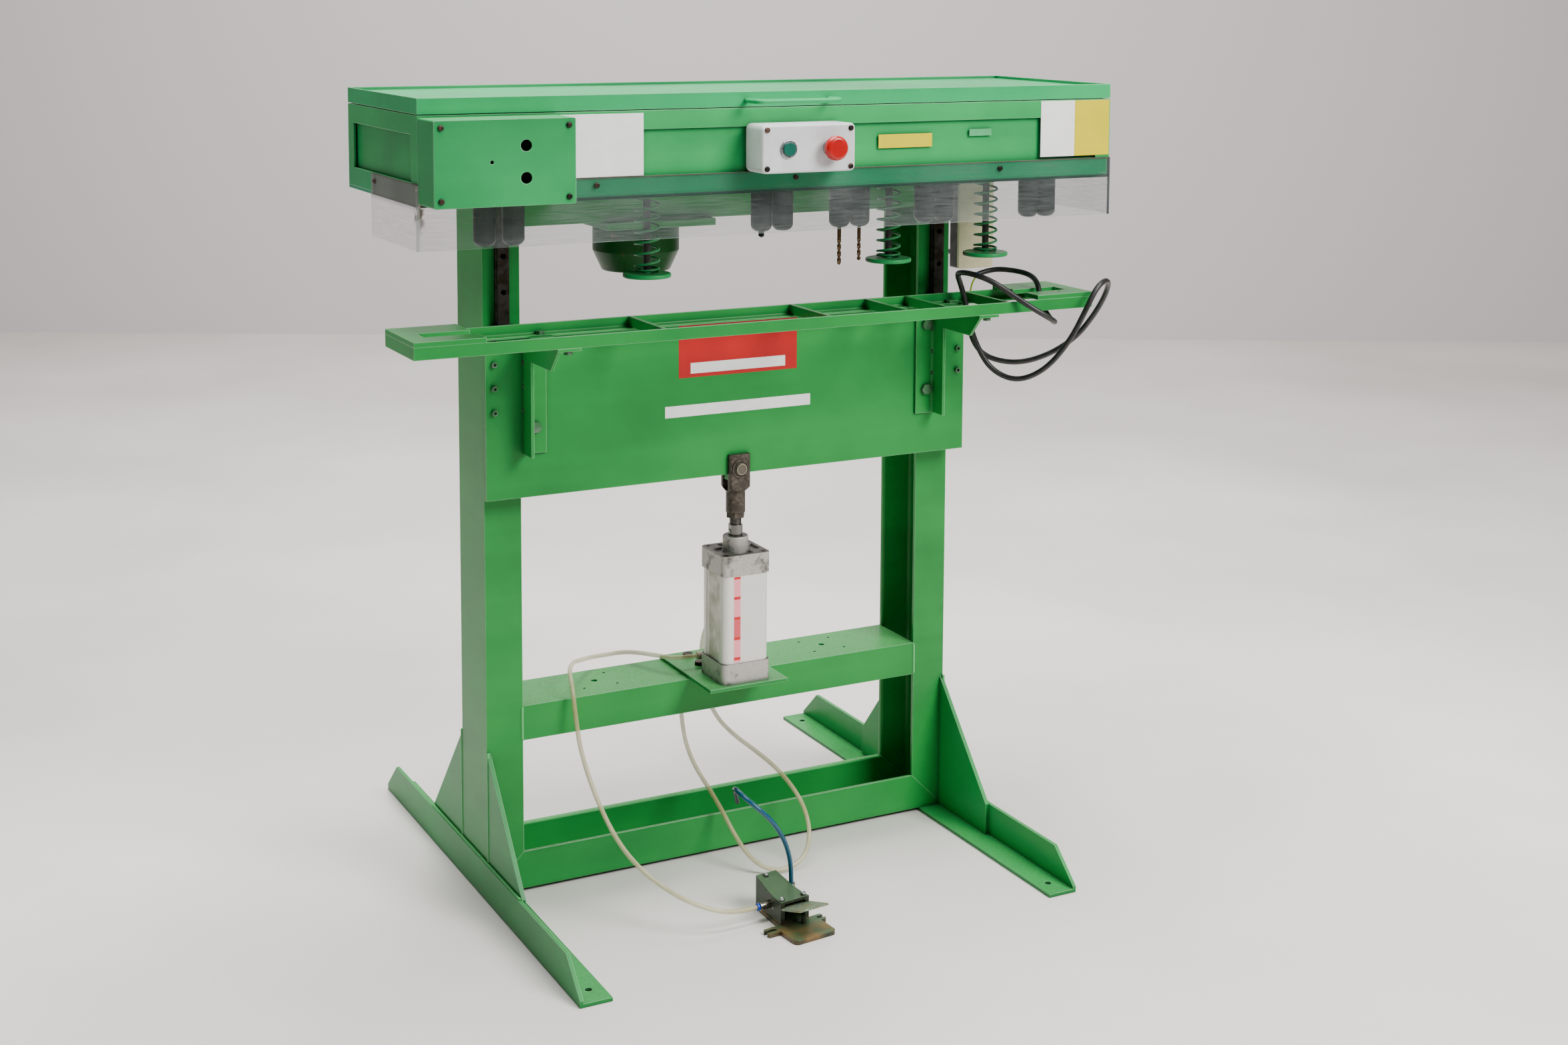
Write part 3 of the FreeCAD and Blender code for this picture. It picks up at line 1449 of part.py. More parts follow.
def pulley_profile(shaft_radius, bottom, end):
    """Half section of a shaft from bottom to end, with the belt pulley on it."""
    radius = pulley_diameter / 2
    flange = pulley_flange_diameter / 2
    wall = pulley_flange_wall
    return [
        (0, bottom), (shaft_radius, bottom), (shaft_radius, pulley_bottom), (flange, pulley_bottom),
        (flange, pulley_bottom + wall), (radius, pulley_bottom + wall), (radius, pulley_top - wall),
        (flange, pulley_top - wall), (flange, pulley_top), (shaft_radius, pulley_top),
        (shaft_radius, end), (0, end)]


def motor_shaft():
    bottom = motor_chamfer_top + sliding_clearance
    return turned(motor_x, 0, pulley_profile(motor_shaft_diameter / 2, bottom, pulley_top + shaft_end_overrun))


def loop_wire(centres, radius, level):
    """Closed line round equal circles whose centres run anticlockwise."""
    edges = []
    count = len(centres)
    normals = []
    for index, centre in enumerate(centres):
        along = (centres[(index + 1) % count] - centre).normalize()
        normals.append(vector(along.y, -along.x, 0))
    lift = vector(0, 0, level)
    for index, centre in enumerate(centres):
        following = centres[(index + 1) % count]
        normal = normals[index]
        before = normals[index - 1]
        halfway = (normal + before).normalize()
        edges.append(Part.Arc(lift + centre + before * radius, lift + centre + halfway * radius,
                              lift + centre + normal * radius).toShape())
        edges.append(Part.LineSegment(lift + centre + normal * radius,
                                      lift + following + normal * radius).toShape())
    return Part.Wire(edges)


def drive_belt():
    """Flat belt round the motor pulley and the outer spindle pulleys."""
    pairs = pair_spindles()
    centres = [vector(pairs[0][0], spindle_y, 0), vector(pairs[-1][0], spindle_y, 0), vector(motor_x, 0, 0)]
    level = (pulley_bottom + pulley_top - belt_height) / 2
    inner = pulley_diameter / 2 + belt_clearance
    outside = Part.Face(loop_wire(centres, inner + belt_wall, level)).extrude(vector(0, 0, belt_height))
    inside = Part.Face(loop_wire(centres, inner, level - cut_overrun))
    return outside.cut(inside.extrude(vector(0, 0, belt_height + 2 * cut_overrun)))


def spindle_units():
    """Bearing housings of the spindle pairs and the guide bushes of the pressure feet."""
    solids = []
    half = unit_depth / 2
    for pair in pair_spindles():
        left = pair[0] - unit_end_margin
        right = pair[1] + unit_end_margin
        radius = unit_corner_radius
        body = prism("xy", [
            (left, spindle_y - half, radius), (right, spindle_y - half, radius),
            (right, spindle_y + half, radius), (left, spindle_y + half, radius)], head_floor, unit_top)
        pieces = [body]
        tools = []
        for index, x in enumerate(pair):
            pieces.append(bar(vector(x, spindle_y, frame_top), vector(x, spindle_y, head_floor + cut_overrun),
                              unit_spigot_diameter))
            bore_top = unit_top + cut_overrun if index == 0 else unit_top - unit_roof
            tools.append(bar(vector(x, spindle_y, frame_top - cut_overrun), vector(x, spindle_y, bore_top),
                             spindle_diameter + 2 * sliding_clearance))
        solids.append(fused(pieces).cut(tools))
    for x in pad_places:
        flange = bush_flange_diameter / 2
        body_radius = bush_diameter / 2
        bore = pad_rod_diameter / 2 + sliding_clearance
        solids.append(turned(x, spindle_y, [
            (bore, frame_top - bush_flange_wall), (flange, frame_top - bush_flange_wall),
            (flange, frame_top), (body_radius, frame_top), (body_radius, bush_top), (bore, bush_top)]))
    return group(solids)


def spindle(x, driven, drill_diameter, tip):
    """Spindle with its chuck, and a drill or stub where the chuck holds one."""
    shaft = spindle_diameter / 2
    chuck = chuck_diameter / 2
    waist = chuck - chuck_waist_depth
    seam = chuck_bottom + (chuck_top - chuck_bottom) * chuck_sleeve_share
    mouth = chuck_bore_diameter / 2
    bore_top = chuck_bottom + chuck_bore_depth
    profile = [
        (mouth, chuck_bottom), (chuck, chuck_bottom, chuck_nose_radius), (chuck, seam),
        (waist, seam), (waist, seam + chuck_waist_depth), (chuck, seam + chuck_waist_depth),
        (chuck, chuck_top), (shaft, chuck_top)]
    if driven:
        upper = pulley_profile(shaft, chuck_top, pulley_top + shaft_end_overrun)[2:]
    else:
        end = unit_top - unit_roof - sliding_clearance
        upper = [(shaft, end), (0, end)]
    profile.extend(upper)
    profile.append((0, bore_top))
    profile.append((mouth, bore_top))
    body = turned(x, spindle_y, profile)
    if not drill_diameter:
        return body
    drill_radius = drill_diameter / 2
    drill = turned(x, spindle_y, [
        (0, tip), (drill_radius, tip + drill_point_height), (drill_radius, chuck_bottom + chuck_waist_depth),
        (mouth, chuck_bottom + chuck_waist_depth), (mouth, bore_top), (0, bore_top)])
    return group([body, drill])


# Pressure feet
def pressure_foot(x):
    """Round foot on its rod, with the collar that hangs it on the bush."""
    disc = pad_diameter / 2
    rod = pad_rod_diameter / 2
    collar = pad_collar_diameter / 2
    collar_bottom = bush_top + spring_seat_gap
    return turned(x, spindle_y, [
        (0, pad_bottom), (disc, pad_bottom, pad_edge_radius), (disc, pad_top, pad_edge_radius),
        (rod, pad_top), (rod, collar_bottom), (collar, collar_bottom),
        (collar, collar_bottom + pad_collar_height), (rod, collar_bottom + pad_collar_height),
        (rod, pad_rod_top), (0, pad_rod_top)])


def spring_levels():
    """Height of the spring's centre line at every quarter turn, closed at both ends."""
    low = pad_top + spring_seat_gap + spring_wire / 2
    high = frame_top - spring_seat_gap - spring_wire / 2
    turns = 2 * spring_closed_turns + spring_active_turns
    quarters = 4 * turns
    closed = 4 * spring_closed_turns
    weights = []
    for index in range(quarters + 1):
        opened = min(index, quarters - index) - closed
        weights.append(min(max(opened / 2, 0), 1))
    shares = [0]
    for index in range(quarters):
        shares.append(shares[-1] + (weights[index] + weights[index + 1]) / 2)
    closed_rise = spring_closed_pitch / 4
    spare = high - low - closed_rise * quarters
    levels = []
    rises = []
    for index in range(quarters + 1):
        levels.append(low + closed_rise * index + spare * shares[index] / shares[-1])
        rises.append((closed_rise + spare * weights[index] / shares[-1]) * 4)
    return levels, rises


def biarc(start, start_direction, end, end_direction):
    """Two arcs that join two points and directions smoothly."""
    along = end - start
    directions = start_direction + end_direction
    square = 2 * (start_direction.dot(end_direction) - 1)
    linear = -2 * along.dot(directions)
    constant = along.dot(along)
    reach = (-linear - math.sqrt(linear * linear - 4 * square * constant)) / (2 * square)
    first_corner = start + start_direction * reach
    second_corner = end - end_direction * reach
    joint = (first_corner + second_corner) / 2
    return [tangent_arc(start, first_corner, joint), tangent_arc(joint, second_corner, end)]


def swept(path, start, direction, diameter):
    """Round section along a smooth path."""
    circle = Part.Circle(start, direction, diameter / 2)
    section = Part.Wire(circle.toShape())
    return path.makePipeShell([section], True, False)


def pressure_spring(x):
    """Compression spring with a closed turn at each end, as one tube."""
    radius = (spring_outer_diameter - spring_wire) / 2
    levels, rises = spring_levels()
    points = []
    directions = []
    for index, (level, rise) in enumerate(zip(levels, rises)):
        angle = math.pi / 2 * index
        points.append(vector(x + radius * math.cos(angle), spindle_y + radius * math.sin(angle), level))
        around = 2 * math.pi * radius
        directions.append(vector(-around * math.sin(angle), around * math.cos(angle), rise).normalize())
    first = points[0] - directions[0] * spring_wire
    last = points[-1] + directions[-1] * spring_wire
    edges = [Part.LineSegment(first, points[0]).toShape()]
    for index in range(len(points) - 1):
        edges.extend(biarc(points[index], directions[index], points[index + 1], directions[index + 1]))
    edges.append(Part.LineSegment(points[-1], last).toShape())
    return swept(Part.Wire(edges), first, directions[0], spring_wire), points


def spring_self_gap(points):
    """Least clear distance between turns, measured on the quarter-turn points."""
    least = None
    for index in range(len(points)):
        for other in range(index + 3, len(points)):
            gap = (points[index] - points[other]).Length - spring_wire
            if least is None or gap < least:
                least = gap
    return least


# Switch box behind the head
def switch_box():
    """Box body with its strap to the head and the cable gland on its back."""
    left = switch_box_left
    right = left + switch_box_width
    body_front = switch_box_front + switch_box_lid_wall
    radius = switch_box_radius
    body = prism("xz", [
        (left, switch_box_bottom, radius), (right, switch_box_bottom, radius),
        (right, switch_box_top, radius), (left, switch_box_top, radius)], body_front, switch_box_rear)
    strap_half = strap_width / 2
    centre = switch_box_centre
    strap = span_box((centre - strap_half, centre + strap_half),
                     (switch_box_rear, switch_box_rear + strap_wall),
                     (switch_box_top - strap_width, frame_top))
    nut_end = switch_box_rear + gland_nut_height
    nut = bar(vector(gland_x, switch_box_rear, gland_z), vector(gland_x, nut_end, gland_z), gland_diameter)
    dome = Part.makeCone(gland_diameter / 2, cable_diameter / 2 + strap_wall / 2, gland_height - gland_nut_height,
                         vector(gland_x, nut_end, gland_z), vector(0, 1, 0))
    return group([body, strap, fused([nut, dome])])


def switch_box_cover():
    right = switch_box_left + switch_box_width
    radius = switch_box_radius
    return prism("xz", [
        (switch_box_left, switch_box_bottom, radius), (right, switch_box_bottom, radius),
        (right, switch_box_top, radius), (switch_box_left, switch_box_top, radius)],
        switch_box_front, switch_box_front + switch_box_lid_wall)


# Foot valve, built square to the axes and then turned on the floor
def placed_valve(shape):
    shape = shape.copy()
    shape.rotate(vector(0, 0, 0), vector(0, 0, 1), valve_turn)
    shape.translate(vector(valve_x, valve_y, 0))
    return shape


def valve_body():
    """Base plate with its lugs, hollow body under a dished top, and the pedal's stop post."""
    lug_front = valve_base_shoulder
    lug_rear = valve_lug_rear
    waist = valve_base_waist
    rear = valve_base_rear
    rear_half = valve_rear_half_width
    lug_radius = valve_lug_radius
    plate = prism("xy", [
        (-valve_base_half_width, valve_base_front, valve_base_radius),
        (valve_base_half_width, valve_base_front, valve_base_radius),
        (valve_base_half_width, lug_front), (valve_lug_right, lug_front, lug_radius),
        (valve_lug_right, lug_rear, lug_radius), (waist, lug_rear), (rear_half, rear, lug_radius),
        (-rear_half, rear, lug_radius), (-waist, lug_rear), (valve_lug_left, lug_rear, lug_radius),
        (valve_lug_left, lug_front, lug_radius), (-valve_base_half_width, lug_front)],
        0, valve_base_wall)
    slot_y = (lug_front + lug_rear) / 2
    slots = []
    for tip, inward in ((valve_lug_left, 1), (valve_lug_right, -1)):
        inner = tip + inward * valve_slot_length * (1 if inward > 0 else valve_right_slot_share)
        slots.append(span_box((tip - inward * cut_overrun, inner),
                              (slot_y - valve_slot_width / 2, slot_y + valve_slot_width / 2),
                              (-cut_overrun, valve_base_wall + cut_overrun)))
        slots.append(bar(vector(inner, slot_y, -cut_overrun),
                         vector(inner, slot_y, valve_base_wall + cut_overrun), valve_slot_width))
    plate = plate.cut(slots)
    side_view = prism("yz", [
        (valve_front, valve_base_wall), (valve_rear, valve_base_wall), (valve_rear, valve_rear_height),
        (valve_sag_place, valve_front_height, valve_sag_radius), (valve_front, valve_front_height)],
        -valve_front_half_width, valve_front_half_width)
    plan = prism("xy", [
        (-valve_front_half_width, valve_front), (valve_front_half_width, valve_front),
        (valve_rear_half_width, valve_rear), (-valve_rear_half_width, valve_rear)],
        0, valve_rear_height + cut_overrun)
    block = side_view.common(plan)
    pocket_half = valve_rear_half_width
    pocket = span_box((-pocket_half, pocket_half),
                      (valve_front - cut_overrun, valve_front + valve_pocket_depth),
                      (valve_base_wall + valve_pocket_floor, valve_front_height - valve_cover_wall))
    pin_bore = bar(vector(-valve_front_half_width - cut_overrun, pedal_hinge_place, pedal_hinge_height),
                   vector(valve_front_half_width + cut_overrun, pedal_hinge_place, pedal_hinge_height),
                   pedal_pin_diameter + 2 * sliding_clearance)
    block = block.cut([pocket, pin_bore])
    post = bar(vector(pedal_stop_side, pedal_stop_place, valve_base_wall),
               vector(pedal_stop_side, pedal_stop_place, valve_base_wall + pedal_stop_height),
               pedal_stop_diameter)
    screws = []
    screw_top = valve_front_height
    for side in (-1, 1):
        screw = panel_screw()
        screw.translate(vector(side * (valve_front_half_width - valve_screw_inset),
                               valve_front + valve_screw_inset, screw_top))
        screws.append(screw)
    return placed_valve(group([plate, block, post] + screws))


def valve_half_width(v):
    """Half width of the tapered valve body at a distance along it."""
    share = (v - valve_front) / (valve_rear - valve_front)
    return valve_front_half_width + share * (valve_rear_half_width - valve_front_half_width)


def push_fitting(start, direction, length):
    """Push-in fitting: body, then the collet that grips the hose."""
    middle = start + direction * length
    body = bar(start, middle, fitting_diameter)
    collet = bar(middle, middle + direction * collet_length, collet_diameter)
    return [body, collet]


def air_fittings():
    """Fittings of the foot valve and the two swivel elbows of the cylinder."""
    left = -vector(valve_half_width(valve_left_port), 0, 0)
    start = left + vector(0, valve_left_port, valve_port_height)
    local = push_fitting(start, vector(-1, 0, 0), fitting_length)
    right_start = vector(valve_half_width(valve_right_port), valve_right_port, valve_port_height)
    corner = right_start + vector(supply_elbow_reach, 0, 0)
    stub = bar(right_start, corner, fitting_diameter)
    rise = bar(corner - vector(0, 0, fitting_diameter / 2), corner + vector(0, 0, supply_elbow_rise),
               fitting_diameter)
    elbow = fused([stub, rise])
    elbow_top = corner + vector(0, 0, supply_elbow_rise)
    collet = bar(elbow_top, elbow_top + vector(0, 0, collet_length), collet_diameter)
    solids = [placed_valve(shape) for shape in local + [elbow, collet]]
    lower = vector(0, cylinder_rear_y, cylinder_bottom + port_height)
    upper = vector(0, cylinder_rear_y, cylinder_top - port_top_inset)
    for port, direction, length in ((lower, vector(-1, 0, 0), lower_elbow_length),
                                    (upper, vector(0, 0, -1), upper_elbow_length)):
        corner = port + vector(0, port_stub_length, 0)
        stub = bar(port, corner + vector(0, elbow_diameter / 2, 0), port_stub_diameter)
        arm = bar(corner, corner + direction * length, elbow_diameter)
        end = corner + direction * length
        collet = bar(end, end + direction * collet_length, collet_diameter)
        solids.extend([fused([stub, arm]), collet])
    return group(solids)


def foot_pedal():
    """Inclined pedal plate with its hinge barrel and pin."""
    run = pedal_hinge_place - pedal_front
    rise = pedal_front_height - pedal_hinge_height
    slope = rise / run
    inner_half = valve_rear_half_width - pedal_side_play
    half_wall = pedal_wall / 2

    def slab(start, stop, half_width):
        start_z = pedal_hinge_height + (pedal_hinge_place - start) * slope
        stop_z = pedal_hinge_height + (pedal_hinge_place - stop) * slope
        return prism("yz", [
            (start, start_z - half_wall), (stop, stop_z - half_wall), (stop, stop_z + half_wall),
            (start, start_z + half_wall)], -half_width, half_width)

    face = valve_front - pedal_face_gap
    tread = slab(pedal_front, face, pedal_half_width)
    arm = slab(face - pedal_face_gap, pedal_hinge_place, inner_half)
    barrel = bar(vector(-inner_half, pedal_hinge_place, pedal_hinge_height),
                 vector(inner_half, pedal_hinge_place, pedal_hinge_height), pedal_barrel_diameter)
    pin_half = valve_half_width(pedal_hinge_place)
    pin = bar(vector(-pin_half, pedal_hinge_place, pedal_hinge_height),
              vector(pin_half, pedal_hinge_place, pedal_hinge_height), pedal_pin_diameter)
    return placed_valve(fused([tread, arm, barrel, pin]))


# Hoses and mains lead
def cord(name, route, diameter):
    """Round cord along a route: straight runs joined by tangent arcs."""
    points = [vector(*point) for point in route]
    edges = []
    start = points[0]
    radii = []
    for index in range(1, len(points) - 1):
        here = points[index]
        back = points[index - 1] - here
        ahead = points[index + 1] - here
        reach = corner_share * min(back.Length, ahead.Length)
        half_turn = (math.pi - back.getAngle(ahead)) / 2
        radii.append(reach / math.tan(half_turn))
        entry = here + back.normalize() * reach
        leave = here + ahead.normalize() * reach
        edges.append(Part.LineSegment(start, entry).toShape())
        edges.append(tangent_arc(entry, here, leave))
        start = leave
    edges.append(Part.LineSegment(start, points[-1]).toShape())
    path = Part.Wire(edges)
    tube = swept(path, points[0], points[1] - points[0], diameter)
    expected = path.Length * math.pi * diameter * diameter / 4
    print(name, "length", round(path.Length, 1), "least radius", round(min(radii), 1),
          "volume ratio", round(tube.Volume / expected, 4))
    return tube


def spindle_nodes():
    """Ten spindles, named from the left; the second pair holds a stub, the third two drills."""
    nodes = {}
    number = 0
    for pair_index, pair in enumerate(pair_spindles()):
        for index, x in enumerate(pair):
            number += 1
            drill_diameter, tip = 0, 0
            if pair_index == 1 and index == 0:
                drill_diameter, tip = stub_diameter, stub_tip
            if pair_index == 2:
                drill_diameter, tip = drill_diameters[index], drill_tips[index]
            nodes["spindle_" + str(number)] = spindle(x, index == 0, drill_diameter, tip)
    return nodes


def pressure_foot_nodes():
    nodes = {}
    for index, x in enumerate(pad_places):
        nodes["pressure_foot_" + str(index + 1)] = pressure_foot(x)
        spring, points = pressure_spring(x)
        nodes["foot_spring_" + str(index + 1)] = spring
        print("spring", index + 1, "least gap to itself", round(spring_self_gap(points), 2))
    return nodes


def build():
    nodes = {
        "left_upright": upright(-1),
        "right_upright": upright(1),
        "bottom_channel": cross_member(frame_bottom, 1),
        "top_channel": top_channel(),
        "cylinder_shelf": cylinder_shelf(),
        "left_foot": foot(-1),
        "right_foot": foot(1),
        "guide_rails": guide_rails(),
        "cylinder_mount_plate": cylinder_mount_plate(),
        "cylinder_tube": cylinder_tube(),
        "cylinder_end_caps": cylinder_end_caps(),
        "cylinder_bolts": cylinder_bolts(),
        "air_fittings": air_fittings(),
        "head_base_plate": head_base_plate(),
        "head_frame": group([head_frame(), lid_hinges()]),
        "guard": guard(),
        "cover_screws": cover_screws(),
        "relay_box": relay_box(),
        "control_box": control_box(),
        "button_bezels": button_bezels(),
        "motor_mount_plate": motor_mount_plate(),
        "motor_body": motor_body(),
        "spindle_units": spindle_units(),
        "drive_belt": drive_belt(),
        "switch_box": switch_box(),
        "switch_box_cover": switch_box_cover(),
        "valve_body": valve_body(),
        "lid": lid(),
        "start_button": start_button(),
        "stop_button": stop_button(),
        "motor_shaft": motor_shaft(),
        "guide_blocks": guide_blocks(),
        "carriage_plate": carriage_plate(),
        "carriage_bolts": carriage_bolts(),
        "table_brackets": table_brackets(),
        "table_frame": group([table_frame(), table_end_plates()]),
        "piston_rod": piston_rod(),
        "rod_fork": rod_fork(),
        "foot_pedal": foot_pedal(),
        "cylinder_hose": cord("cylinder_hose", cylinder_hose_route, hose_diameter),
        "loop_hose": cord("loop_hose", loop_hose_route, hose_diameter),
        "supply_hose": cord("supply_hose", supply_hose_route, hose_diameter),
        "mains_root": cord("mains_root", mains_root_route, cable_diameter),
        "mains_lead": cord("mains_lead", mains_lead_route, cable_diameter),
    }
    nodes.update(spindle_nodes())
    nodes.update(pressure_foot_nodes())
    return nodes


os.makedirs("parts", exist_ok=True)
for node_name, node_shape in build().items():
    if not node_shape.isValid():
        print("not valid:", node_name)
    node_shape.exportStep("parts/" + node_name + ".step")
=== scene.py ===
# %% [markdown]
# A multi-spindle boring machine
#
# The machine is a welded portal of rolled channel. A drilling head lies across its top, and an air
# cylinder lifts a work table up to the drills. The CAD model has every solid part already, so this
# lesson gives those parts their finishes and adds what is too soft or too fine for CAD.

# %% Load the frame
import math
import bpy
from mathutils import Matrix, Vector


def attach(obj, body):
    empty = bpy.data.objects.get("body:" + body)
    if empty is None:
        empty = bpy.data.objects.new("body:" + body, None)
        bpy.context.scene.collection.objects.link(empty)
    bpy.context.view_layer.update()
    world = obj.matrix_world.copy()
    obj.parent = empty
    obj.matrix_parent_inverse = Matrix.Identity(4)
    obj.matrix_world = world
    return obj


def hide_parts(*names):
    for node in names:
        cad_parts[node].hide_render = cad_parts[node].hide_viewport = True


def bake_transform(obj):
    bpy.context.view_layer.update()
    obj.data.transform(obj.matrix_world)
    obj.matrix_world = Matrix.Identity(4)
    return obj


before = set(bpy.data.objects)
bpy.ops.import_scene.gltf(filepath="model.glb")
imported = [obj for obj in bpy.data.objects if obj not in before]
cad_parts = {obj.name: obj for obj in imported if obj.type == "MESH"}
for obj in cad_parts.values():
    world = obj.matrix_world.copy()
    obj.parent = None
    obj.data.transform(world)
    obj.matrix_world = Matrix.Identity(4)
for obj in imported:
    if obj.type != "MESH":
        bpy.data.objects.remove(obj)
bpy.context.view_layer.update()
mm = 0.001

# %% [markdown]
# The camera comes first, because everything later is judged through it. Its place and its angles
# were solved from known sizes in the photograph. The lens is long and the camera stands a little above
# the drilling head, so the picture is framed with a vertical shift instead of a steeper tilt.

# %% Camera
photo_width = 2353
photo_height = 1568
focal_pixels = 3151.0
principal_x = 1176.5
principal_y = 317.6
sensor_width = 36.0
camera_place = Vector((-1.5917, -3.3158, 1.5419))
camera_right = Vector((0.88652, -0.46267, 0.00525))
camera_up = Vector((0.04498, 0.09748, 0.99422))

camera_data = bpy.data.cameras.new("photo_camera")
camera_data.sensor_width = sensor_width
camera_data.lens = sensor_width * focal_pixels / photo_width
camera_data.shift_x = (photo_width / 2 - principal_x) / photo_width
camera_data.shift_y = (principal_y - photo_height / 2) / photo_width
camera_data.clip_end = 60
camera = bpy.data.objects.new("photo_camera", camera_data)
bpy.context.scene.collection.objects.link(camera)
axes = Matrix((camera_right, camera_up, camera_right.cross(camera_up))).transposed()
camera.matrix_world = Matrix.Translation(camera_place) @ axes.to_4x4()
bpy.context.scene.camera = camera
print("lens", round(camera_data.lens, 2), "shift", round(camera_data.shift_y, 4))

# %% [markdown]
# Three helpers for materials. Colours are noted as sRGB hex values, as a colour picker shows them, and
# Blender mixes light in linear values, so one function converts them. Another adds a shader
# node with its settings, its values and its links, and gives back one of its outputs. The last
# starts a named material.


# %% Colour and node helpers
colour_mix = {"out": 2, "data_type": "RGBA"}


def linear(code, strength=1.0):
    """Linear RGBA of an sRGB hex value, made darker or lighter by strength."""
    values = [int(code[i:i + 2], 16) / 255 for i in (1, 3, 5)]
    values = [v / 12.92 if v <= 0.04045 else ((v + 0.055) / 1.055) ** 2.4 for v in values]
    return [min(v * strength, 1.0) for v in values] + [1.0]


def add(tree, kind, out=0, stops=(), **values):
    """Adds a ShaderNode. A value is a setting, or a socket's name or number and what it gets."""
    node = tree.nodes.new("ShaderNode" + kind)
    for key, value in values.items():
        if key.islower() and hasattr(node, key):
            setattr(node, key, value)
            continue
        socket = node.inputs[int(key[1:]) if key[1:].isdigit() else key.replace("_", " ")]
        if isinstance(value, bpy.types.NodeSocket):
            tree.links.new(value, socket)
        else:
            socket.default_value = value
    for index, (position, colour) in enumerate(stops):
        elements = node.color_ramp.elements
        element = elements[index] if index < 2 else elements.new(position)
        element.position = position
        element.color = colour
    return node.outputs[out]


def new_material(name):
    """A named material with its tree, its shader and the object's coordinates in metres."""
    material = bpy.data.materials.new(name)
    material.use_nodes = True
    tree = material.node_tree
    return material, tree, tree.nodes["Principled BSDF"], add(tree, "TexCoord", out=3)


# %% [markdown]
# Four helpers for modelling. An operator acts on all that is selected, so one function clears the
# selection and one picks faces or points by their place. The third applies a piece's modifiers. The
# last names a finished piece, gives it its finish, moves its place into its mesh and lets it ride on
# a body of the machine.


# %% Modelling helpers
def pick_only(piece):
    if bpy.context.object and bpy.context.object.mode != "OBJECT":
        bpy.ops.object.mode_set(mode="OBJECT")
    bpy.ops.object.select_all(action="DESELECT")
    piece.select_set(True)
    bpy.context.view_layer.objects.active = piece


def edit(piece, test, kind="FACE"):
    """Opens edit mode with only those faces, or points, selected that pass the test."""
    pick_only(piece)
    bpy.ops.object.mode_set(mode="EDIT")
    bpy.ops.mesh.select_mode(type=kind)
    bpy.ops.mesh.select_all(action="DESELECT")
    bpy.ops.object.mode_set(mode="OBJECT")
    for part in (piece.data.polygons if kind == "FACE" else piece.data.vertices):
        part.select = test(part)
    bpy.ops.object.mode_set(mode="EDIT")


def apply_modifiers(piece):
    bpy.context.view_layer.objects.active = piece
    for modifier in list(piece.modifiers):
        bpy.ops.object.modifier_apply(modifier=modifier.name)


def finish_piece(piece, name, material, body):
    """Names a piece, gives it its finish, and puts its place into its mesh and onto a body."""
    pick_only(piece)
    bpy.ops.object.transform_apply(location=True, rotation=True, scale=True)
    piece.name = name
    piece.data.name = name
    piece.data.materials.clear()
    piece.data.materials.append(material)
    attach(piece, body)
    return piece


# %% [markdown]
# The room. The photograph was taken in a hall with a concrete floor and grey curtains, under bright
# roof lights. A plain pale floor and a plain grey backdrop keep the same brightness round the machine
# without drawing the hall. Most light comes from above and from the right, so the left sides of the
# channels fall into shade, as they do in the photograph.

# %% Floor, backdrop and lights
floor_material, tree, shader, place = new_material("pale_concrete")
cloud = add(tree, "TexNoise", Vector=place, Scale=0.9, Detail=4.0)
shade = add(tree, "ValToRGB", Fac=cloud, stops=[(0.3, linear("#d3cdc7")), (0.7, linear("#e8e3dd"))])
tree.links.new(shade, shader.inputs["Base Color"])
shader.inputs["Roughness"].default_value = 0.6
bpy.ops.mesh.primitive_plane_add(size=30, location=(0, 0, -0.5 * mm))
floor = bpy.context.object
floor.name = "studio_floor"
floor.data.materials.append(floor_material)

backdrop_material, tree, shader, place = new_material("grey_backdrop")
shader.inputs["Base Color"].default_value = linear("#c6c1c0")
shader.inputs["Roughness"].default_value = 0.9
bpy.ops.mesh.primitive_plane_add(size=14, location=(3.0, 4.6, 3.0),
                                 rotation=(math.radians(90), 0, math.radians(-28)))
backdrop = bpy.context.object
backdrop.name = "studio_backdrop"
backdrop.data.materials.append(backdrop_material)


def area_light(name, place, aim, size, power):
    data = bpy.data.lights.new(name, "AREA")
    data.shape = "DISK"
    data.size = size
    data.energy = power
    light = bpy.data.objects.new(name, data)
    light.location = place
    light.rotation_euler = (Vector(aim) - Vector(place)).to_track_quat("-Z", "Y").to_euler()
    bpy.context.scene.collection.objects.link(light)


area_light("key_light", (1.9, -3.4, 3.6), (0, 0, 0.8), 2.4, 300)
area_light("top_light", (-0.2, 0.0, 4.6), (0, 0, 0.5), 3.0, 360)
area_light("backdrop_light", (0.5, 2.2, 4.4), (1.5, 4.6, 0.6), 3.0, 175)
world = bpy.data.worlds.new("soft_white_room")
world.use_nodes = True
world.node_tree.nodes["Background"].inputs["Color"].default_value = linear("#e9edf0")
world.node_tree.nodes["Background"].inputs["Strength"].default_value = 0.15
bpy.context.scene.world = world
print("room done")
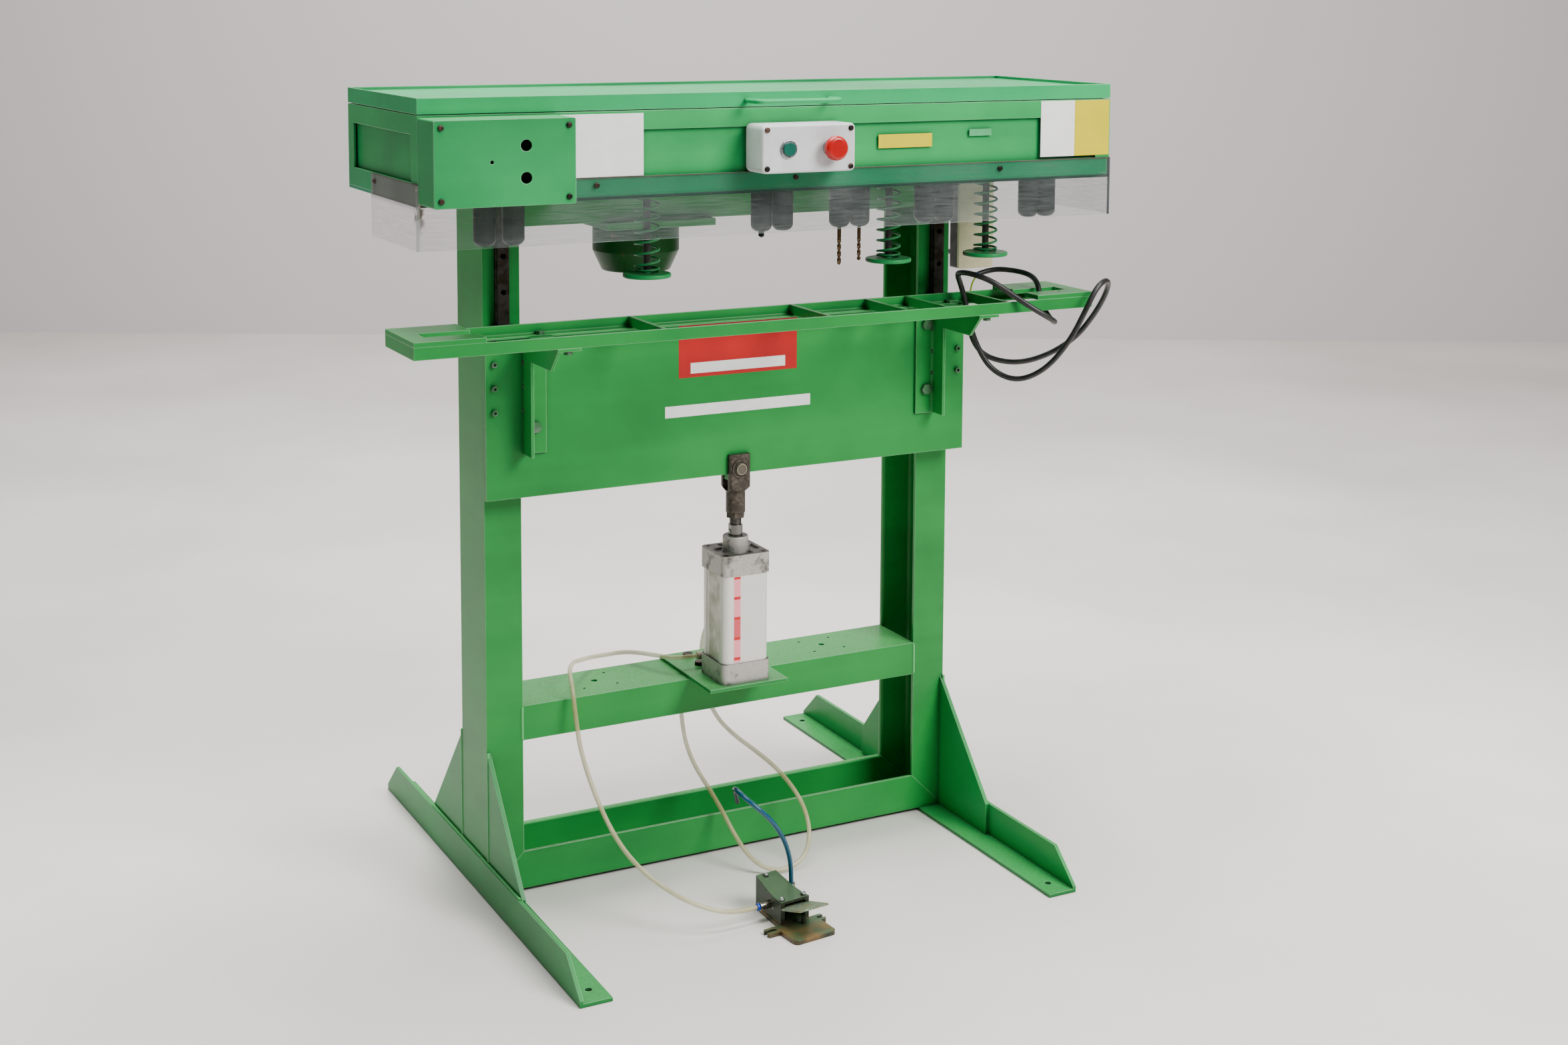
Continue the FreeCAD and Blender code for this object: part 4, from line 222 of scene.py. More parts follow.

# %% [markdown]
# The green finish is workshop enamel: an alkyd paint sprayed on hot-rolled steel that was only
# roughly cleaned. It shows a slight orange peel and drifts in tone from overlapping passes. Its edges
# get a painted highlight, its corners painted shade with some grime, and what faces up dust and a
# painted top shading. The bevel node rounds the look of each edge, and an ambient occlusion node
# finds the corners.


# %% Enamel
def enamel_colour(tree, place, base, dust, rust, dust_and_top_shading_colour):
    """The colour of the enamel: the paint, dust with painted top shading, and painted shade in corners.
    """
    drift = add(tree, "TexNoise", Vector=place, Scale=3.2, Detail=5.0, Roughness=0.55)
    colour = add(tree, "ValToRGB", Fac=drift,
                 stops=[(0.30, linear(base, 0.74)), (0.70, linear(base, 1.26)), (0.50, linear(base))])
    # Broad spray passes, about 60 mm apart, run along X.
    stretch = add(tree, "Mapping", Vector=place, Scale=(1.2, 6.0, 16.0))
    passes = add(tree, "TexNoise", Vector=stretch, Scale=1.0, Detail=3.0)
    spray = add(tree, "MapRange", Value=passes, From_Min=0.42, From_Max=0.75, To_Max=0.35)
    colour = add(tree, "Mix", **colour_mix, i0=spray, i6=colour, i7=linear(base, 1.5))
    # Faces that look up get specks about 2 mm wide: dust, and painted top shading in the given colour.
    normal = add(tree, "NewGeometry", out=1)
    up = add(tree, "SeparateXYZ", out=2, Vector=normal)
    upward = add(tree, "MapRange", Value=up, From_Min=0.55, From_Max=1.0)
    speck = add(tree, "TexNoise", Vector=place, Scale=420.0, Detail=3.0)
    specks = add(tree, "MapRange", Value=speck, From_Min=0.30, From_Max=0.85, To_Max=dust)
    dust_and_top_shading = add(tree, "Math", operation="MULTIPLY", i0=upward, i1=specks)
    colour = add(tree, "Mix", **colour_mix, i0=dust_and_top_shading, i6=colour, i7=linear(dust_and_top_shading_colour))
    # Painted shade, with some grime, darkens the paint within 14 mm of an inner corner.
    open_air = add(tree, "AmbientOcclusion", out=1, samples=4, Distance=14 * mm)
    corner_shade_and_grime = add(tree, "MapRange", Value=open_air, From_Min=0.22, From_Max=0.85, To_Min=0.88, To_Max=0.0)
    colour = add(tree, "Mix", **colour_mix, i0=corner_shade_and_grime, i6=colour, i7=linear(base, 0.10))
    if rust:
        blot = add(tree, "TexNoise", Vector=place, Scale=38.0, Detail=8.0, Roughness=0.65)
        spots = add(tree, "MapRange", Value=blot, From_Min=0.80 - rust, From_Max=0.86 - rust)
        colour = add(tree, "Mix", **colour_mix, i0=spots, i6=colour, i7=linear("#7a4520"))
    return colour, drift, open_air


# The default colour for what faces up is a pale mint: painted top light, with dust.
def enamel(name, base, dust=0.20, rust=0.0, roughness=0.34, band=None, dust_and_top_shading="#a2de9e"):
    """Workshop enamel. A band is a height, its softness and the colour below it on the front."""
    material, tree, shader, place = new_material(name)
    colour, drift, open_air = enamel_colour(tree, place, base, dust, rust, dust_and_top_shading)
    if band:
        height = add(tree, "SeparateXYZ", out=2, Vector=place)
        below = add(tree, "MapRange", Value=height, From_Min=band[0] + band[1], From_Max=band[0])
        facing = add(tree, "SeparateXYZ", out=1, Vector=add(tree, "NewGeometry", out=1))
        front = add(tree, "MapRange", Value=facing, From_Min=0.2, From_Max=-0.2)
        banded = add(tree, "Math", operation="MULTIPLY", i0=below, i1=front)
        colour = add(tree, "Mix", **colour_mix, i0=banded, i6=colour, i7=linear(band[2]))
    # An edge is where the bevelled normal leaves the true one, and it gets a painted highlight.
    bevel = add(tree, "Bevel", samples=4, Radius=1.6 * mm)
    true_normal = add(tree, "NewGeometry", out=1)
    turn = add(tree, "VectorMath", out=1, operation="DOT_PRODUCT", i0=bevel, i1=true_normal)
    edge = add(tree, "MapRange", Value=turn, From_Min=0.985, From_Max=0.80, To_Max=0.75)
    outer = add(tree, "MapRange", Value=open_air, From_Min=0.6, From_Max=0.9)
    painted_edge_highlight = add(tree, "Math", operation="MULTIPLY", i0=edge, i1=outer)
    colour = add(tree, "Mix", **colour_mix, i0=painted_edge_highlight, i6=colour, i7=linear("#b9efc2"))
    tree.links.new(colour, shader.inputs["Base Color"])
    peel = add(tree, "TexNoise", Vector=place, Scale=230.0, Detail=2.0)
    bump = add(tree, "Bump", Strength=0.10, Distance=0.4 * mm, Height=peel, Normal=bevel)
    tree.links.new(bump, shader.inputs["Normal"])
    gloss = add(tree, "MapRange", Value=drift, To_Min=roughness - 0.06, To_Max=roughness + 0.14)
    tree.links.new(gloss, shader.inputs["Roughness"])
    shader.inputs["IOR"].default_value = 1.52
    shader.inputs["Specular IOR Level"].default_value = 0.22
    return material


# The portal, plate and feet read as coats of one green, and the weld is glossier, with its paler green a
# painted highlight. The head is bluer, with a teal band along its lower edge. The lid's top is darkened
# with painted shade. The motor and springs are darkest. A pressure foot is black, with a green rim on
# the front of its disc.
seam_softness = 1 * mm
head_seam = 1.242
pad_seam = 1.0735
portal_enamel = enamel("portal_enamel", "#1f8539", dust=0.35)
plate_enamel = enamel("plate_enamel", "#1c8238")
# The weld's paler green is a painted highlight.
weld_enamel = enamel("weld_enamel", "#46b45c", dust=0.1, roughness=0.22)
head_enamel = enamel("head_enamel", "#229750", band=(head_seam, seam_softness, "#07935f"))
# The lid's dark green specks on what faces up are painted shade.
lid_enamel = enamel("lid_enamel", "#149a58", dust=0.8, dust_and_top_shading="#0d6f3c")
relay_enamel = enamel("relay_enamel", "#1c8c4b")
base_enamel = enamel("base_enamel", "#1f8a66", rust=0.16)
foot_enamel = enamel("foot_enamel", "#12843a", rust=0.06)
motor_enamel = enamel("motor_enamel", "#0d4a1a", rust=0.17)
spring_enamel = enamel("spring_enamel", "#116434", rust=0.05)
pad_enamel = enamel("pad_enamel", "#2b2c28", band=(pad_seam, seam_softness, "#1b8546"))
print("enamels done")

# %% [markdown]
# Bare metals. Steel, cast iron and aluminium differ mainly in tone and in how their surface was
# made: ground rails show fine lines along their length, castings a pebbled skin, and an extruded
# tube is satin from anodising. Stains are patches where oil, rust or paint has taken the shine.


# %% Metals
def metal(name, dark, light, roughness, grain=(1, 1, 1), grain_scale=400.0, metallic=1.0,
          bump_height=0.05,
          stain=None, stain_level=0.62, top=None, pin=None, corner_shade=0.75):
    """Bare metal. A top colours what faces up; a pin is where a pin head gets painted highlight and
    shade.
    """
    material, tree, shader, place = new_material(name)
    stretch = add(tree, "Mapping", Vector=place, Scale=grain)
    lines = add(tree, "TexNoise", Vector=stretch, Scale=grain_scale, Detail=4.0)
    colour = add(tree, "ValToRGB", Fac=lines, stops=[(0.30, linear(dark)), (0.72, linear(light))])
    shader.inputs["Metallic"].default_value = metallic
    if stain:
        blot = add(tree, "TexNoise", Vector=place, Scale=45.0, Detail=7.0, Roughness=0.6)
        spots = add(tree, "MapRange", Value=blot, From_Min=stain_level - 0.08,
                    From_Max=stain_level + 0.06)
        colour = add(tree, "Mix", **colour_mix, i0=spots, i6=colour, i7=linear(stain))
        dull = add(tree, "MapRange", Value=spots, To_Min=metallic, To_Max=0.0)
        tree.links.new(dull, shader.inputs["Metallic"])
    if top:
        up = add(tree, "SeparateXYZ", out=2, Vector=add(tree, "NewGeometry", out=1))
        upward = add(tree, "MapRange", Value=up, From_Min=0.7, From_Max=0.95, To_Max=0.9)
        colour = add(tree, "Mix", **colour_mix, i0=upward, i6=colour, i7=linear(top))
    # Painted highlight and shade: light and dark rings on the pin head.
    if pin:
        flat = add(tree, "Mapping", Vector=place, Scale=(1, 0, 1), Location=(-pin[0], 0, -pin[1]))
        reach = add(tree, "VectorMath", out=1, operation="LENGTH", i0=flat)
        share = add(tree, "MapRange", Value=reach, From_Max=14 * mm)
        head = add(tree, "ValToRGB", Fac=share,
                   stops=[(0.44, linear("#635d52")), (0.50, linear("#2a261f")),
                           (0.56, linear("#88826f")),
                          (0.78, linear("#736d60")), (0.85, linear("#14110e"))])
        near = add(tree, "MapRange", Value=reach, From_Min=13.4 * mm, From_Max=12.8 * mm)
        colour = add(tree, "Mix", **colour_mix, i0=near, i6=colour, i7=head)
    # Corners within 8 mm are darkened: painted shade.
    open_air = add(tree, "AmbientOcclusion", out=1, samples=4, Distance=8 * mm)
    shaded_corners = add(tree, "MapRange", Value=open_air, From_Min=0.25, From_Max=0.85, To_Min=corner_shade, To_Max=0.0)
    colour = add(tree, "Mix", **colour_mix, i0=shaded_corners, i6=colour, i7=linear(dark, 0.15))
    tree.links.new(colour, shader.inputs["Base Color"])
    rough = add(tree, "MapRange", Value=lines, To_Min=max(roughness - 0.08, 0.05),
                To_Max=min(roughness + 0.12, 1.0))
    tree.links.new(rough, shader.inputs["Roughness"])
    bevel = add(tree, "Bevel", samples=4, Radius=0.6 * mm)
    bump = add(tree, "Bump", Strength=0.5, Distance=bump_height * mm, Height=lines, Normal=bevel)
    tree.links.new(bump, shader.inputs["Normal"])
    return material


# The rails, black bolts and fork look dark with oil and rust. The zinc bolts and the pedal show green
# paint through wear. The castings are pale and pebbled, the rod and shaft bright, the chucks black.
ground_rail_steel = metal("ground_rail_steel", "#1c1510", "#3f372e", 0.36, grain=(8, 8, 0.3),
                          stain="#20150d",
                          stain_level=0.50)
block_steel = metal("block_steel", "#565a58", "#8a8f8c", 0.38)
zinc_bolt_steel = metal("zinc_bolt_steel", "#4f6553", "#86998a", 0.34, stain="#2c6b3a", stain_level=0.48)
black_bolt_steel = metal("black_bolt_steel", "#1c1a18", "#3d3631", 0.42, stain="#4a2c1a",
                         stain_level=0.55)
cast_cap_aluminium = metal("cast_cap_aluminium", "#9d9993", "#cbc7c1", 0.48, grain_scale=900.0,
                           metallic=0.45,
                           bump_height=0.2, stain="#57524a", stain_level=0.60, top="#3a3631")
chromed_rod = metal("chromed_rod", "#5c5b58", "#8b8a86", 0.22, grain=(1, 1, 12))
oily_thread_steel = metal("oily_thread_steel", "#2b2722", "#57504a", 0.35, metallic=0.9)
rusty_fork_steel = metal("rusty_fork_steel", "#352f29", "#655c52", 0.45, grain_scale=180.0, metallic=0.6,
                         bump_height=0.3, stain="#2e251d", stain_level=0.58, pin=(0.0, 0.707))
chuck_steel = metal("chuck_steel", "#08090a", "#17181a", 0.42, metallic=0.6)
drill_steel = metal("drill_steel", "#3c2d1d", "#6a5136", 0.32, metallic=0.9)
turned_shaft_steel = metal("turned_shaft_steel", "#8c8c8a", "#b8b8b5", 0.25, grain=(1, 1, 14))
cast_unit_aluminium = metal("cast_unit_aluminium", "#73766f", "#9b9f98", 0.52, grain_scale=700.0,
                            metallic=0.7,
                            bump_height=0.3)
nickel_brass = metal("nickel_brass", "#8f8878", "#c2bba9", 0.24, grain_scale=250.0)
silver_bezel = metal("silver_bezel", "#8d9193", "#c6cbcc", 0.24, corner_shade=0.15)
worn_pedal_aluminium = metal("worn_pedal_aluminium", "#53634f", "#93a58c", 0.40, metallic=0.5,
                             grain_scale=260.0,
                             stain="#6d6a3a", stain_level=0.56)
print("metals done")

# %% [markdown]
# The cylinder's tube is extruded and anodised aluminium, with a satin skin drawn along its length.
# Painted shade darkens its left face in a blotchy olive band along the groove, clear of both corners.

# %% Anodised tube
tube_axis_y = -0.093
tube_half_width = 0.0445
anodised_tube, tree, shader, place = new_material("anodised_tube")
drawn = add(tree, "Mapping", Vector=place, Scale=(10, 10, 0.25))
lines = add(tree, "TexNoise", Vector=drawn, Scale=400.0, Detail=4.0)
satin = add(tree, "ValToRGB", Fac=lines, stops=[(0.30, linear("#dcd9d2")), (0.72, linear("#efece7"))])
leftward = add(tree, "SeparateXYZ", Vector=add(tree, "NewGeometry", out=1))
# Painted shade: an olive band along the groove on the left face.
left_face = add(tree, "MapRange", Value=leftward, From_Min=-0.7, From_Max=-0.95)
depth = add(tree, "SeparateXYZ", out=1, Vector=place)
off_middle = add(tree, "Math", operation="ABSOLUTE",
                 i0=add(tree, "Math", operation="SUBTRACT", i0=depth, i1=tube_axis_y - 7 * mm))
band = add(tree, "MapRange", Value=off_middle, From_Min=28 * mm, From_Max=22 * mm)
groove_shade_blotch = add(tree, "TexNoise", Vector=place, Scale=30.0, Detail=6.0)
patch = add(tree, "MapRange", Value=groove_shade_blotch, From_Min=0.25, From_Max=0.6, To_Max=0.75)
stain = add(tree, "Math", operation="MULTIPLY", i0=left_face, i1=band)
stain = add(tree, "Math", operation="MULTIPLY", i0=stain, i1=patch)
satin = add(tree, "Mix", **colour_mix, i0=stain, i6=satin, i7=linear("#74724d"))
tree.links.new(satin, shader.inputs["Base Color"])
shader.inputs["Metallic"].default_value = 0.3
shader.inputs["Roughness"].default_value = 0.42
print("anodised tube done")

# %% [markdown]
# The foot valve is cast and sprayed with a hammered green paint, which has a metallic gleam. Its top
# is painted lighter, a painted highlight, and the base has rusted through in the middle, where water
# stands.

# %% Hammered valve paint
hammered_paint, tree, shader, place = new_material("hammered_valve_paint")
dimple = add(tree, "TexNoise", Vector=place, Scale=260.0, Detail=3.0)
colour = add(tree, "ValToRGB", Fac=dimple, stops=[(0.3, linear("#1a2417")), (0.7, linear("#354330"))])
# Painted highlight: faces that look up are lighter.
up = add(tree, "SeparateXYZ", out=2, Vector=add(tree, "NewGeometry", out=1))
upward = add(tree, "MapRange", Value=up, From_Min=0.6, From_Max=0.97, To_Max=0.8)
colour = add(tree, "Mix", **colour_mix, i0=upward, i6=colour, i7=linear("#53714f"))
height = add(tree, "SeparateXYZ", out=2, Vector=place)
low = add(tree, "MapRange", Value=height, From_Min=12 * mm, From_Max=8 * mm)
blot = add(tree, "TexNoise", Vector=place, Scale=32.0, Detail=7.0)
spots = add(tree, "MapRange", Value=blot, From_Min=0.36, From_Max=0.66, To_Max=0.9)
rusted = add(tree, "Math", operation="MULTIPLY", i0=low, i1=spots)
colour = add(tree, "Mix", **colour_mix, i0=rusted, i6=colour, i7=linear("#86683c"))
# Painted shade darkens the paint within 12 mm of a corner.
corner = add(tree, "AmbientOcclusion", out=1, samples=4, Distance=12 * mm)
corner_shade = add(tree, "MapRange", Value=corner, From_Min=0.3, From_Max=0.9, To_Min=0.8, To_Max=0.0)
colour = add(tree, "Mix", **colour_mix, i0=corner_shade, i6=colour, i7=linear("#2e2618"))
tree.links.new(colour, shader.inputs["Base Color"])
rounded = add(tree, "Bevel", samples=4, Radius=1.2 * mm)
skin = add(tree, "Bump", Strength=0.5, Distance=0.3 * mm, Height=dimple, Normal=rounded)
tree.links.new(skin, shader.inputs["Normal"])
shader.inputs["Metallic"].default_value = 0.35
shader.inputs["Roughness"].default_value = 0.36
print("valve paint done")

# %% [markdown]
# Plastics and rubber. Moulded housings are smooth with a fine grain, and dust dulls them in patches.


# %% Plastics
def plastic(name, light, base, roughness, dust=0.0):
    material, tree, shader, place = new_material(name)
    tone = add(tree, "TexNoise", Vector=place, Scale=14.0, Detail=4.0)
    colour = add(tree, "ValToRGB", Fac=tone, stops=[(0.35, linear(base)), (0.68, linear(light))])
    if dust:
        film = add(tree, "TexNoise", Vector=place, Scale=60.0, Detail=6.0)
        share = add(tree, "MapRange", Value=film, From_Min=0.42, From_Max=0.75, To_Max=dust)
        colour = add(tree, "Mix", **colour_mix, i0=share, i6=colour, i7=linear("#8d8679"))
    tree.links.new(colour, shader.inputs["Base Color"])
    shader.inputs["Roughness"].default_value = roughness
    shader.inputs["IOR"].default_value = 1.5
    grain = add(tree, "TexNoise", Vector=place, Scale=900.0, Detail=2.0)
    bevel = add(tree, "Bevel", samples=4, Radius=0.8 * mm)
    bump = add(tree, "Bump", Strength=0.4, Distance=0.05 * mm, Height=grain, Normal=bevel)
    tree.links.new(bump, shader.inputs["Normal"])
    return material


# The control box is satin grey and its buttons are glossy. The switch box is dull black with a cream
# lid, the lead is sooty, and the signs and tapes are flat, glossy colour.
grey_abs = plastic("grey_abs", "#d6d8d9", "#c8cacb", 0.42, dust=0.12)
green_button_plastic = plastic("green_button_plastic", "#07604f", "#044639", 0.28)
red_button_plastic = plastic("red_button_plastic", "#c40b09", "#a30508", 0.26)
black_switch_plastic = plastic("black_switch_plastic", "#1d1e20", "#101112", 0.45, dust=0.2)
cream_switch_plastic = plastic("cream_switch_plastic", "#c9c19c", "#b0a882", 0.5, dust=0.25)
belt_rubber = plastic("belt_rubber", "#232323", "#141414", 0.6)
cable_rubber = plastic("cable_rubber", "#121313", "#080909", 0.42, dust=0.08)
white_vinyl = plastic("white_vinyl", "#f6f6f4", "#ececea", 0.3, dust=0.06)
yellow_vinyl = plastic("yellow_vinyl", "#dccb00", "#d0bf00", 0.3, dust=0.05)
red_vinyl = plastic("red_vinyl", "#bd0409", "#b00308", 0.3)
green_tape = plastic("green_tape", "#5cb67c", "#48a068", 0.2)
blue_collet_plastic = plastic("blue_collet_plastic", "#0b3fae", "#082f8c", 0.3)
blue_core_plastic = plastic("blue_core_plastic", "#0e53a8", "#0a438c", 0.35)
earth_core_plastic = plastic("earth_core_plastic", "#9bab12", "#6f9a1a", 0.35)
print("plastics done")

# %% [markdown]
# The guard is a bent sheet of clear acrylic, scuffed and yellowed. It is drawn as thin see-through
# plastic: the face lets most light by, the sawn edges look solid and pale, and old glue stains the
# left front corner, where the sheet has come loose once.

# %% Guard acrylic
guard_corner = (-0.634, -0.302, 1.215)
left_return = (-0.6300, -0.6315)
scuff_heights = (1.198, 1.212)
brown_edge_heights = (1.2412, 1.2418)
clear_acrylic, tree, shader, place = new_material("clear_acrylic")
haze = add(tree, "TexNoise", Vector=place, Scale=9.0, Detail=6.0)
colour = add(tree, "ValToRGB", Fac=haze, stops=[(0.35, linear("#98a09e")), (0.7, linear("#626a68"))])
streaks = add(tree, "Mapping", Vector=place, Scale=(6.0, 6.0, 160.0))
scratches = add(tree, "TexNoise", Vector=streaks, Scale=4.0, Detail=5.0)
opacity = add(tree, "MapRange", Value=scratches, From_Min=0.35, From_Max=0.75, To_Min=0.07, To_Max=0.20)
up = add(tree, "SeparateXYZ", out=2, Vector=add(tree, "NewGeometry", out=1))
sawn = add(tree, "MapRange", Value=add(tree, "Math", operation="ABSOLUTE", i0=up),
           From_Min=0.8, From_Max=0.95)
colour = add(tree, "Mix", **colour_mix, i0=sawn, i6=colour, i7=linear("#e2eae7"))
squash = add(tree, "Mapping", Vector=place, Scale=(1.0, 1.0, 0.28),
             Location=(-guard_corner[0], -guard_corner[1], -guard_corner[2] * 0.28))
reach = add(tree, "VectorMath", out=1, operation="LENGTH", i0=squash)
near = add(tree, "MapRange", Value=reach, From_Min=17 * mm, From_Max=7 * mm)
crumbs = add(tree, "TexNoise", Vector=place, Scale=90.0, Detail=6.0)
glue = add(tree, "Math", operation="MULTIPLY", i0=near,
           i1=add(tree, "MapRange", Value=crumbs, From_Min=0.42, From_Max=0.58))
colour = add(tree, "Mix", **colour_mix, i0=glue, i6=colour, i7=linear("#6e5136"))
opacity = add(tree, "Math", operation="MAXIMUM", i0=opacity,
              i1=add(tree, "Math", operation="MULTIPLY", i0=sawn, i1=0.8))
bend_place = add(tree, "Mapping", Vector=place, Scale=(1.0, 1.0, 0.0),
                 Location=(-guard_corner[0], -guard_corner[1], 0.0))
bend_reach = add(tree, "VectorMath", out=1, operation="LENGTH", i0=bend_place)
bend_shine = add(tree, "MapRange", Value=bend_reach, From_Min=5 * mm, From_Max=3 * mm, To_Max=0.55)
colour = add(tree, "Mix", **colour_mix, i0=bend_shine, i6=colour, i7=linear("#dfe6e3"))
opacity = add(tree, "Math", operation="MAXIMUM", i0=opacity, i1=bend_shine)
right_place = add(tree, "Mapping", Vector=place, Scale=(1.0, 1.0, 0.0),
                  Location=(guard_corner[0], -guard_corner[1], 0.0))
right_reach = add(tree, "VectorMath", out=1, operation="LENGTH", i0=right_place)
right_end = add(tree, "MapRange", Value=right_reach, From_Min=6 * mm, From_Max=4 * mm, To_Max=0.9)
colour = add(tree, "Mix", **colour_mix, i0=right_end, i6=colour, i7=linear("#2a2c33"))
opacity = add(tree, "Math", operation="MAXIMUM", i0=opacity, i1=right_end)
side_x = add(tree, "SeparateXYZ", Vector=place)
side_z = add(tree, "SeparateXYZ", out=2, Vector=place)
left_side = add(tree, "MapRange", Value=side_x, From_Min=left_return[0],
                From_Max=left_return[1])
above = add(tree, "MapRange", Value=side_z, From_Min=scuff_heights[0],
            From_Max=scuff_heights[1], To_Max=0.55)
scuffed = add(tree, "Math", operation="MULTIPLY", i0=left_side, i1=above)
colour = add(tree, "Mix", **colour_mix, i0=scuffed, i6=colour, i7=linear("#a3a59c"))
opacity = add(tree, "Math", operation="MAXIMUM", i0=opacity, i1=scuffed)
top_edge = add(tree, "MapRange", Value=side_z, From_Min=brown_edge_heights[0],
               From_Max=brown_edge_heights[1], To_Max=0.85)
colour = add(tree, "Mix", **colour_mix, i0=top_edge, i6=colour, i7=linear("#4d3c2c"))
opacity = add(tree, "Math", operation="MAXIMUM", i0=opacity, i1=top_edge)
opacity = add(tree, "Math", operation="MAXIMUM", i0=opacity, i1=glue)
tree.links.new(colour, shader.inputs["Base Color"])
tree.links.new(opacity, shader.inputs["Alpha"])
shader.inputs["Roughness"].default_value = 0.12
shader.inputs["IOR"].default_value = 1.49
print("guard acrylic done")

# %% [markdown]
# Air hose. Two hoses are clear polyurethane that has turned straw yellow, and one is dyed blue. The
# end of the blue one is blackened with dirt, from a dark spot that fades out over 35 mm.

# %% Hose plastics
clear_tube, tree, shader, place = new_material("clear_tube")
yellowing = add(tree, "TexNoise", Vector=place, Scale=12.0, Detail=3.0)
straw = add(tree, "ValToRGB", Fac=yellowing, stops=[(0.35, linear("#b9b27d")), (0.7, linear("#d6d1a9"))])
tree.links.new(straw, shader.inputs["Base Color"])
shader.inputs["Roughness"].default_value = 0.16
shader.inputs["IOR"].default_value = 1.5
shader.inputs["Alpha"].default_value = 0.58

supply_tip = (-0.081, -0.262, 0.192)
blue_polyurethane, tree, shader, place = new_material("blue_polyurethane")
from_tip = add(tree, "VectorMath", out=1, operation="DISTANCE", i0=place, i1=supply_tip)
blackened = add(tree, "MapRange", Value=from_tip, From_Min=52 * mm, From_Max=24 * mm, To_Max=0.95)
blue = add(tree, "Mix", **colour_mix, i0=blackened, i6=linear("#064a63"), i7=linear("#0b1416"))
tree.links.new(blue, shader.inputs["Base Color"])
shader.inputs["Roughness"].default_value = 0.25
print("hose plastics done")

# %% [markdown]
# Each CAD part now gets its finish. A part is never moved or reshaped here: only its material slot
# is filled.

# %% Finishes of the CAD parts
finishes = {
    portal_enamel: ["left_upright", "right_upright", "bottom_channel", "top_channel", "cylinder_shelf",
                    "cylinder_mount_plate", "motor_mount_plate", "table_brackets"],
    plate_enamel: ["carriage_plate", "table_frame"],
    foot_enamel: ["left_foot", "right_foot"],
    head_enamel: ["head_frame"],
    base_enamel: ["head_base_plate"],
    lid_enamel: ["lid"],
    relay_enamel: ["relay_box"],
    pad_enamel: ["pressure_foot_1", "pressure_foot_2", "pressure_foot_3"],
    spring_enamel: ["foot_spring_1", "foot_spring_2", "foot_spring_3"],
    motor_enamel: ["motor_body"],
    ground_rail_steel: ["guide_rails"],
    block_steel: ["guide_blocks"],
    zinc_bolt_steel: ["carriage_bolts"],
    black_bolt_steel: ["cover_screws", "cylinder_bolts"],
    anodised_tube: ["cylinder_tube"],
    cast_cap_aluminium: ["cylinder_end_caps"],
    chromed_rod: ["piston_rod"],
    rusty_fork_steel: ["rod_fork"],
    clear_acrylic: ["guard"],
    grey_abs: ["control_box"],
    green_button_plastic: ["start_button"],
    red_button_plastic: ["stop_button"],
    silver_bezel: ["button_bezels"],
    turned_shaft_steel: ["motor_shaft"],
    cast_unit_aluminium: ["spindle_units"],
    chuck_steel: ["spindle_" + str(number) for number in range(1, 11)],
    belt_rubber: ["drive_belt"],
    black_switch_plastic: ["switch_box"],
    cream_switch_plastic: ["switch_box_cover"],
    hammered_paint: ["valve_body"],
    worn_pedal_aluminium: ["foot_pedal"],
    nickel_brass: ["air_fittings"],
}
for material, nodes in finishes.items():
    for node in nodes:
        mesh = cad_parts[node].data
        mesh.materials.clear()
        mesh.materials.append(material)
print("finishes:", len(finishes))

# %% [markdown]
# Hoses. A hose is one smooth line that leaves its fitting straight, so it is drawn as a NURBS curve
# through the same route points as the CAD tube, with a round bevel.


# %% Hoses
def nurbs_line(name, route, diameter):
    data = bpy.data.curves.new(name, "CURVE")
    data.dimensions = "3D"
    spline = data.splines.new("NURBS")
    spline.points.add(len(route) - 1)
    for point, place in zip(spline.points, route):
        point.co = (*place, 1)
    spline.order_u = 3
    spline.use_endpoint_u = True
    spline.resolution_u = 6
    data.bevel_depth = diameter / 2
    data.bevel_resolution = 4
    data.use_fill_caps = True
    line = bpy.data.objects.new(name, data)
    bpy.context.scene.collection.objects.link(line)
    return line


def centre_points(line):
    """Points along the smooth line itself, read with its bevel set to nothing."""
    bevel = line.data.bevel_depth
    line.data.bevel_depth = 0
    bpy.context.view_layer.update()
    evaluated = line.evaluated_get(bpy.context.evaluated_depsgraph_get())
    mesh = bpy.data.meshes.new_from_object(evaluated)
    points = [vertex.co.copy() for vertex in mesh.vertices]
    bpy.data.meshes.remove(mesh)
    line.data.bevel_depth = bevel
    bpy.context.view_layer.update()
    return points


def length_of(points):
    return sum((b - a).length for a, b in zip(points, points[1:]))


